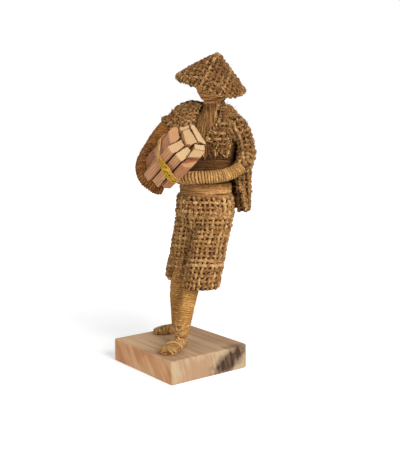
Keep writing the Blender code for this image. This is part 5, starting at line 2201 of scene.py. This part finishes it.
@dataclass
class StickBundle:
    """Split sticks held by a loop of raffia."""

    axis: Vector = field(default_factory=lambda: Vector((0.816, 0.028, 0.578)).normalized())
    first: Vector = field(default_factory=lambda: Vector((0.570, 0.134, -0.811)).normalized())
    tints: dict[str, StickTint] = field(default_factory=lambda: {
        "stick_plank": CREAM_TINT,
        "stick_side_slat": PALE_TINT,
        "stick_top_slat": CREAM_TINT,
        "stick_wedge": PINK_TINT,
        "stick_square": CREAM_TINT,
        "stick_small": PALE_TINT,
        "stick_middle": PALE_TINT,
        "stick_outer": CREAM_TINT,
        "stick_dark": PINK_TINT,
        "stick_core": SHADED_CORE_TINT,
    })
    pore: Colour = srgb(122, 82, 54)
    # Painted shade in the gaps between the sticks.
    shade: Colour = srgb(48, 28, 16)
    cleft_width: float = 2.6 * MM
    end_facing: float = 0.7
    halvings: int = 3
    # Red-brown colour over one side of stick_dark, up to the edge below.
    heart: Colour = srgb(128, 66, 40)
    red_side_edge: float = -134.2 * MM
    ribbon: Yarn = Yarn.smooth(0.75 * MM, 8, flat=0.5)
    cord: Yarn = Yarn.smooth(0.5 * MM, 6)
    stray: float = 2.4 * MM
    tuck: float = 10.0 * MM
    sink: float = 3.0 * MM
    tuck_start: float = -1.1
    tuck_length: float = 2.6
    tie_step: float = 0.08
    tie_reach: float = 40.0 * MM
    bands: tuple[float, ...] = (-1.9, -0.5, 0.6, 1.8)
    cord_count: int = 14
    knot_turn: float = 304.0
    knot_loops: int = 9
    knot_ends: int = 7
    stick_swell: float = 0.6 * MM
    end_swell: float = 0.25 * MM
    roughness: float = 0.35 * MM
    rough_across: float = 260.0
    rough_along: float = 40.0

    def __post_init__(self) -> None:
        """Works out the other direction across the sticks."""
        self.second = self.axis.cross(self.first)

    def build(self) -> None:
        """Dresses the sticks and ties them."""
        for number, (name, tint) in enumerate(self.tints.items()):
            dark = name == "stick_dark"
            finish = StickFinish(
                name=name + "_wood", tint=tint, pore=self.pore, shade=self.shade, number=float(number),
                heart=self.heart if dark else None, red_side_edge=self.red_side_edge,
            )
            piece = self.split(name, float(number))
            piece.data.materials.append(finish.material(self.axis, self.first, self.second))
            dress(piece, Slot.DARK_WOOD if dark else Slot.SPLIT_WOOD, name)
        self.tie()
        self.knot()

    def split(self, node: str, seed: float) -> Piece:
        """A stick with the slightly uneven faces of split wood.

        Args:
            node: CAD node of the stick.
            seed: Its seed.

        Returns:
            The piece, without a material.
        """
        bm = merged_copy(node)
        bmesh.ops.dissolve_limit(bm, angle_limit=0.02, verts=bm.verts, edges=bm.edges)
        runs = [vert.co.dot(self.axis) for vert in bm.verts]
        low, length = min(runs), max(runs) - min(runs)
        bmesh.ops.triangulate(bm, faces=bm.faces)
        for _ in range(self.halvings):
            bmesh.ops.subdivide_edges(bm, edges=bm.edges, cuts=1, use_grid_fill=True)
        bm.normal_update()
        for vert, way in [(vert, vert.normal.copy()) for vert in bm.verts]:
            run = vert.co.dot(self.axis)
            across = (vert.co - self.axis * run) * self.rough_across
            place = across + self.axis * (run * self.rough_along) + UP * (7.0 * seed)
            fuller = self.stick_swell + (self.end_swell - self.stick_swell) * (run - low) / length
            level = way - self.axis * way.dot(self.axis)
            vert.co += way * (self.roughness * noise.noise(place)) + level * fuller
        self.mark_clefts(bm, node)
        return piece_of(node + "_wood", bm)

    def mark_clefts(self, bm: bmesh.types.BMesh, node: str) -> None:
        """Marks the faces that look at another stick close by, which get painted shade.

        Args:
            bm: Mesh of the stick.
            node: CAD node of the stick.
        """
        others = Surface(*(name for name in self.tints if name != node))
        layer = bm.faces.layers.float.new(CLEFT)
        bm.normal_update()
        for face in bm.faces:
            inside = face.calc_center_median() - face.normal * MM
            met = others.tree.ray_cast(inside, face.normal, self.cleft_width + MM)[0]
            face[layer] = float(met is not None and abs(face.normal.dot(self.axis)) < self.end_facing)

    def turn_round(self, start: float, end: float, shift: float, rise: float, sway: float) -> list[Vector]:
        """Line round the bundle on its tie.

        Args:
            start: Turn at which it starts, from the first direction across the sticks.
            end: Turn at which it ends.
            shift: Place along the sticks from the middle of the tie.
            rise: Height over the tie's surface.
            sway: Seed of its straying.

        Returns:
            Points of the line.
        """
        surface = Surface("bundle_tie")
        middle = mean(surface.corners)
        points = []
        count = ceil(abs(end - start) / self.tie_step)
        for step in range(count + 1):
            turn = start + (end - start) * step / count
            way = toward(self.first, self.second, turn)
            hit = surface.outermost(middle, way, self.tie_reach)
            if hit is None:
                continue
            stray = self.stray * noise.noise(Vector((sway, 0.9 * turn, 0.0)))
            front = (turn - self.tuck_start) % tau
            hidden = sin(front / self.tuck_length * pi) if front < self.tuck_length else 0.0
            along = shift + stray - self.tuck * hidden
            points.append(hit + self.axis * along + way * (rise - self.sink * hidden))
        return points

    def tie(self) -> None:
        """Lays the natural raffia all round, and dyed strands over its lower part."""
        ribbons = Skein(self.ribbon, seed=95)
        for band, shift in enumerate(self.bands):
            start = -1.2 + 0.5 * band
            rise = -0.3 * MM * (band % 2)
            line = self.turn_round(start, start + tau + 0.1, shift * MM, rise, band * 3.1)
            ribbons.lay(line, roll=pi / 2.0)
        dress(ribbons.piece("raffia_loop", RAFFIA), Slot.RAFFIA, "bundle_tie")
        cords = Skein(self.cord, seed=97)
        dice = cords.dice
        for band in range(self.cord_count):
            start = dice.uniform(-1.75, -1.2)
            end = dice.uniform(-0.95, -0.5)
            shift = dice.uniform(-4.2, 3.4) * MM
            rise = dice.uniform(0.2, 0.9) * MM
            cords.lay(self.turn_round(start, end, shift, rise, 20.0 + 3.0 * band))
        dress(cords.piece("raffia_cords", DYED_RAFFIA), Slot.RAFFIA, "bundle_tie")

    def knot(self) -> None:
        """Ties the knot, a loose tangle of loops and ends."""
        low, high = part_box("bundle_knot")
        heart = (low + high) / 2.0
        away = toward(self.first, self.second, radians(self.knot_turn))
        across = away.cross(self.axis)
        knot = Skein(self.cord, seed=96)
        dice = knot.dice
        for _ in range(self.knot_loops):
            wide = dice.uniform(1.6, 4.2) * MM
            tall = dice.uniform(1.2, 2.8) * MM
            lean = Quaternion(away, dice.uniform(-0.9, 0.9))
            phase = dice.uniform(0.0, tau)
            middle = heart - away * (1.2 * MM) + across * dice.uniform(-3.0, 3.0) * MM
            points = []
            for step in range(22):
                angle = phase + tau * step / 24.0
                flat = across * (wide * cos(angle)) + self.axis * (tall * sin(angle))
                points.append(middle + lean @ flat + away * (0.9 * MM * sin(2.0 * angle + phase)))
            knot.lay(points, width=dice.uniform(0.7, 1.0))
        curl = away * (0.5 * MM)
        for number in range(self.knot_ends):
            aside = across * dice.uniform(-1.0, 1.0) + self.axis * dice.uniform(-0.9, 0.9)
            way = (aside + away * dice.uniform(-0.1, 0.5)).normalized()
            points = []
            for step in range(8):
                spot = heart - away * MM + way * (step * 1.1 * MM)
                points.append(spot + curl * sin(step * 0.8 + number))
            knot.lay(points, width=0.6)
        dress(knot.piece("raffia_knot", DYED_RAFFIA), Slot.RAFFIA, "bundle_knot")


@dataclass(frozen=True)
class Lamp:
    """A soft square lamp: how far it hangs back, right and up from the focus, its side and its watts."""

    name: str
    back: float
    right: float
    up: float
    size: float
    power: float


@dataclass
class Studio:
    """Camera, soft light, floor and background."""

    place: Vector = way_field(0.57887, -0.42104, 0.22469)
    focus: Vector = way_field(0.0, 0.0, 0.15)
    azimuth: float = 52.46
    elevation: float = 7.13
    lens: float = 60.55
    sensor: float = 36.0
    clip: float = 0.01
    lamps: tuple[Lamp, ...] = (
        Lamp("key_light", 0.92, 0.6, 0.4, 0.6, 15.8),
        Lamp("fill_light", 0.8, -0.8, 0.2, 0.9, 4.9),
        Lamp("top_light", -0.25, 0.0, 1.1, 0.9, 2.0),
    )
    white: Colour = (1.0, 1.0, 1.0, 1.0)
    floor_colour: Colour = (0.86, 0.86, 0.86, 1.0)
    floor_size: float = 4.0
    room_light: float = 0.16
    glow_near: float = 0.4
    glow_from: float = 0.15
    glow_full: float = 0.6

    def build(self) -> None:
        """Sets up the studio."""
        scene = bpy.context.scene
        scene.view_settings.view_transform = "Standard"
        turn, rise = radians(self.azimuth), radians(self.elevation)
        back = Vector((sin(turn) * cos(rise), -cos(turn) * cos(rise), sin(rise)))
        self.camera(scene, back)
        for lamp in self.lamps:
            self.hang(lamp, self.focus + back * lamp.back + level_way(turn) * lamp.right + UP * lamp.up)
        self.world(scene)
        self.floor()

    @staticmethod
    def aim(name: str, data: bpy.types.ID, place: Vector, way: Vector) -> Piece:
        """Puts a camera or a lamp at a place and turns it.

        Args:
            name: Name of the object.
            data: The camera or the lamp.
            place: Where it goes.
            way: Direction in which it looks or shines.

        Returns:
            The object.
        """
        holder = add_to_scene(name, data)
        holder.location = place
        holder.rotation_mode = "QUATERNION"
        holder.rotation_quaternion = way.to_track_quat("-Z", "Y")
        return holder

    def camera(self, scene: bpy.types.Scene, back: Vector) -> None:
        """Sets the camera at the photograph's view.

        Args:
            scene: Scene that gets the camera.
            back: Direction from the object to the camera.
        """
        data = bpy.data.cameras.new("camera")
        data.lens = self.lens
        data.sensor_width = self.sensor
        data.clip_start = self.clip
        scene.camera = self.aim("camera", data, self.place, -back)

    def hang(self, lamp: Lamp, place: Vector) -> None:
        """Hangs a lamp that shines at the focus.

        Args:
            lamp: The lamp.
            place: Where it hangs.
        """
        data = bpy.data.lights.new(lamp.name, "AREA")
        data.shape = "SQUARE"
        data.size = lamp.size
        data.energy = lamp.power
        self.aim(lamp.name, data, place, self.focus - place)

    @staticmethod
    def seen(tree: Tree) -> Socket:
        """Mask of the rays that show the background.

        Args:
            tree: Node tree to add to.

        Returns:
            1 for those rays, and 0 for rays that light the object.
        """
        path = put(tree, "LightPath")
        shown = reckon(tree, "MAXIMUM", path.outputs["Is Camera Ray"], path.outputs["Is Glossy Ray"])
        return reckon(tree, "MAXIMUM", shown, path.outputs["Is Transmission Ray"])

    def world(self, scene: bpy.types.Scene) -> None:
        """Lights the scene from all round and shows white behind it.

        Args:
            scene: Scene that gets the world.
        """
        world = bpy.data.worlds.new("white_room")
        world.use_nodes = True
        tree = world.node_tree
        background = tree.nodes["Background"]
        background.inputs["Color"].default_value = self.white
        strength = mapped(tree, self.seen(tree), 0.0, 1.0, self.room_light)
        tree.links.new(strength, background.inputs["Strength"])
        scene.world = world

    def floor(self) -> None:
        """Lays the pale floor."""
        bm = bmesh.new()
        bmesh.ops.create_grid(bm, x_segments=1, y_segments=1, size=self.floor_size)
        constants = {"Base Color": self.floor_colour, "Roughness": 1.0, "Emission Color": self.white}
        material, tree, shader = new_material("pale_floor", constants)
        away = measure(tree, "LENGTH", put(tree, "TexCoord").outputs["Object"])
        white = mapped(tree, away, self.glow_from, self.glow_full, self.glow_near)
        glow = reckon(tree, "MULTIPLY", self.seen(tree), white)
        tree.links.new(glow, shader.inputs["Emission Strength"])
        piece_of("floor", bm, material)


def main() -> None:
    """Builds the figurine piece by piece and sets up the studio."""
    logging.basicConfig(level=logging.INFO, format="%(message)s")
    noise.seed_set(NOISE_SEED)
    for part in (Studio(), Block(), Wires(), Limbs(), Trunk(), Clothes(), StickBundle()):
        part.build()


if __name__ == "__main__":
    main()
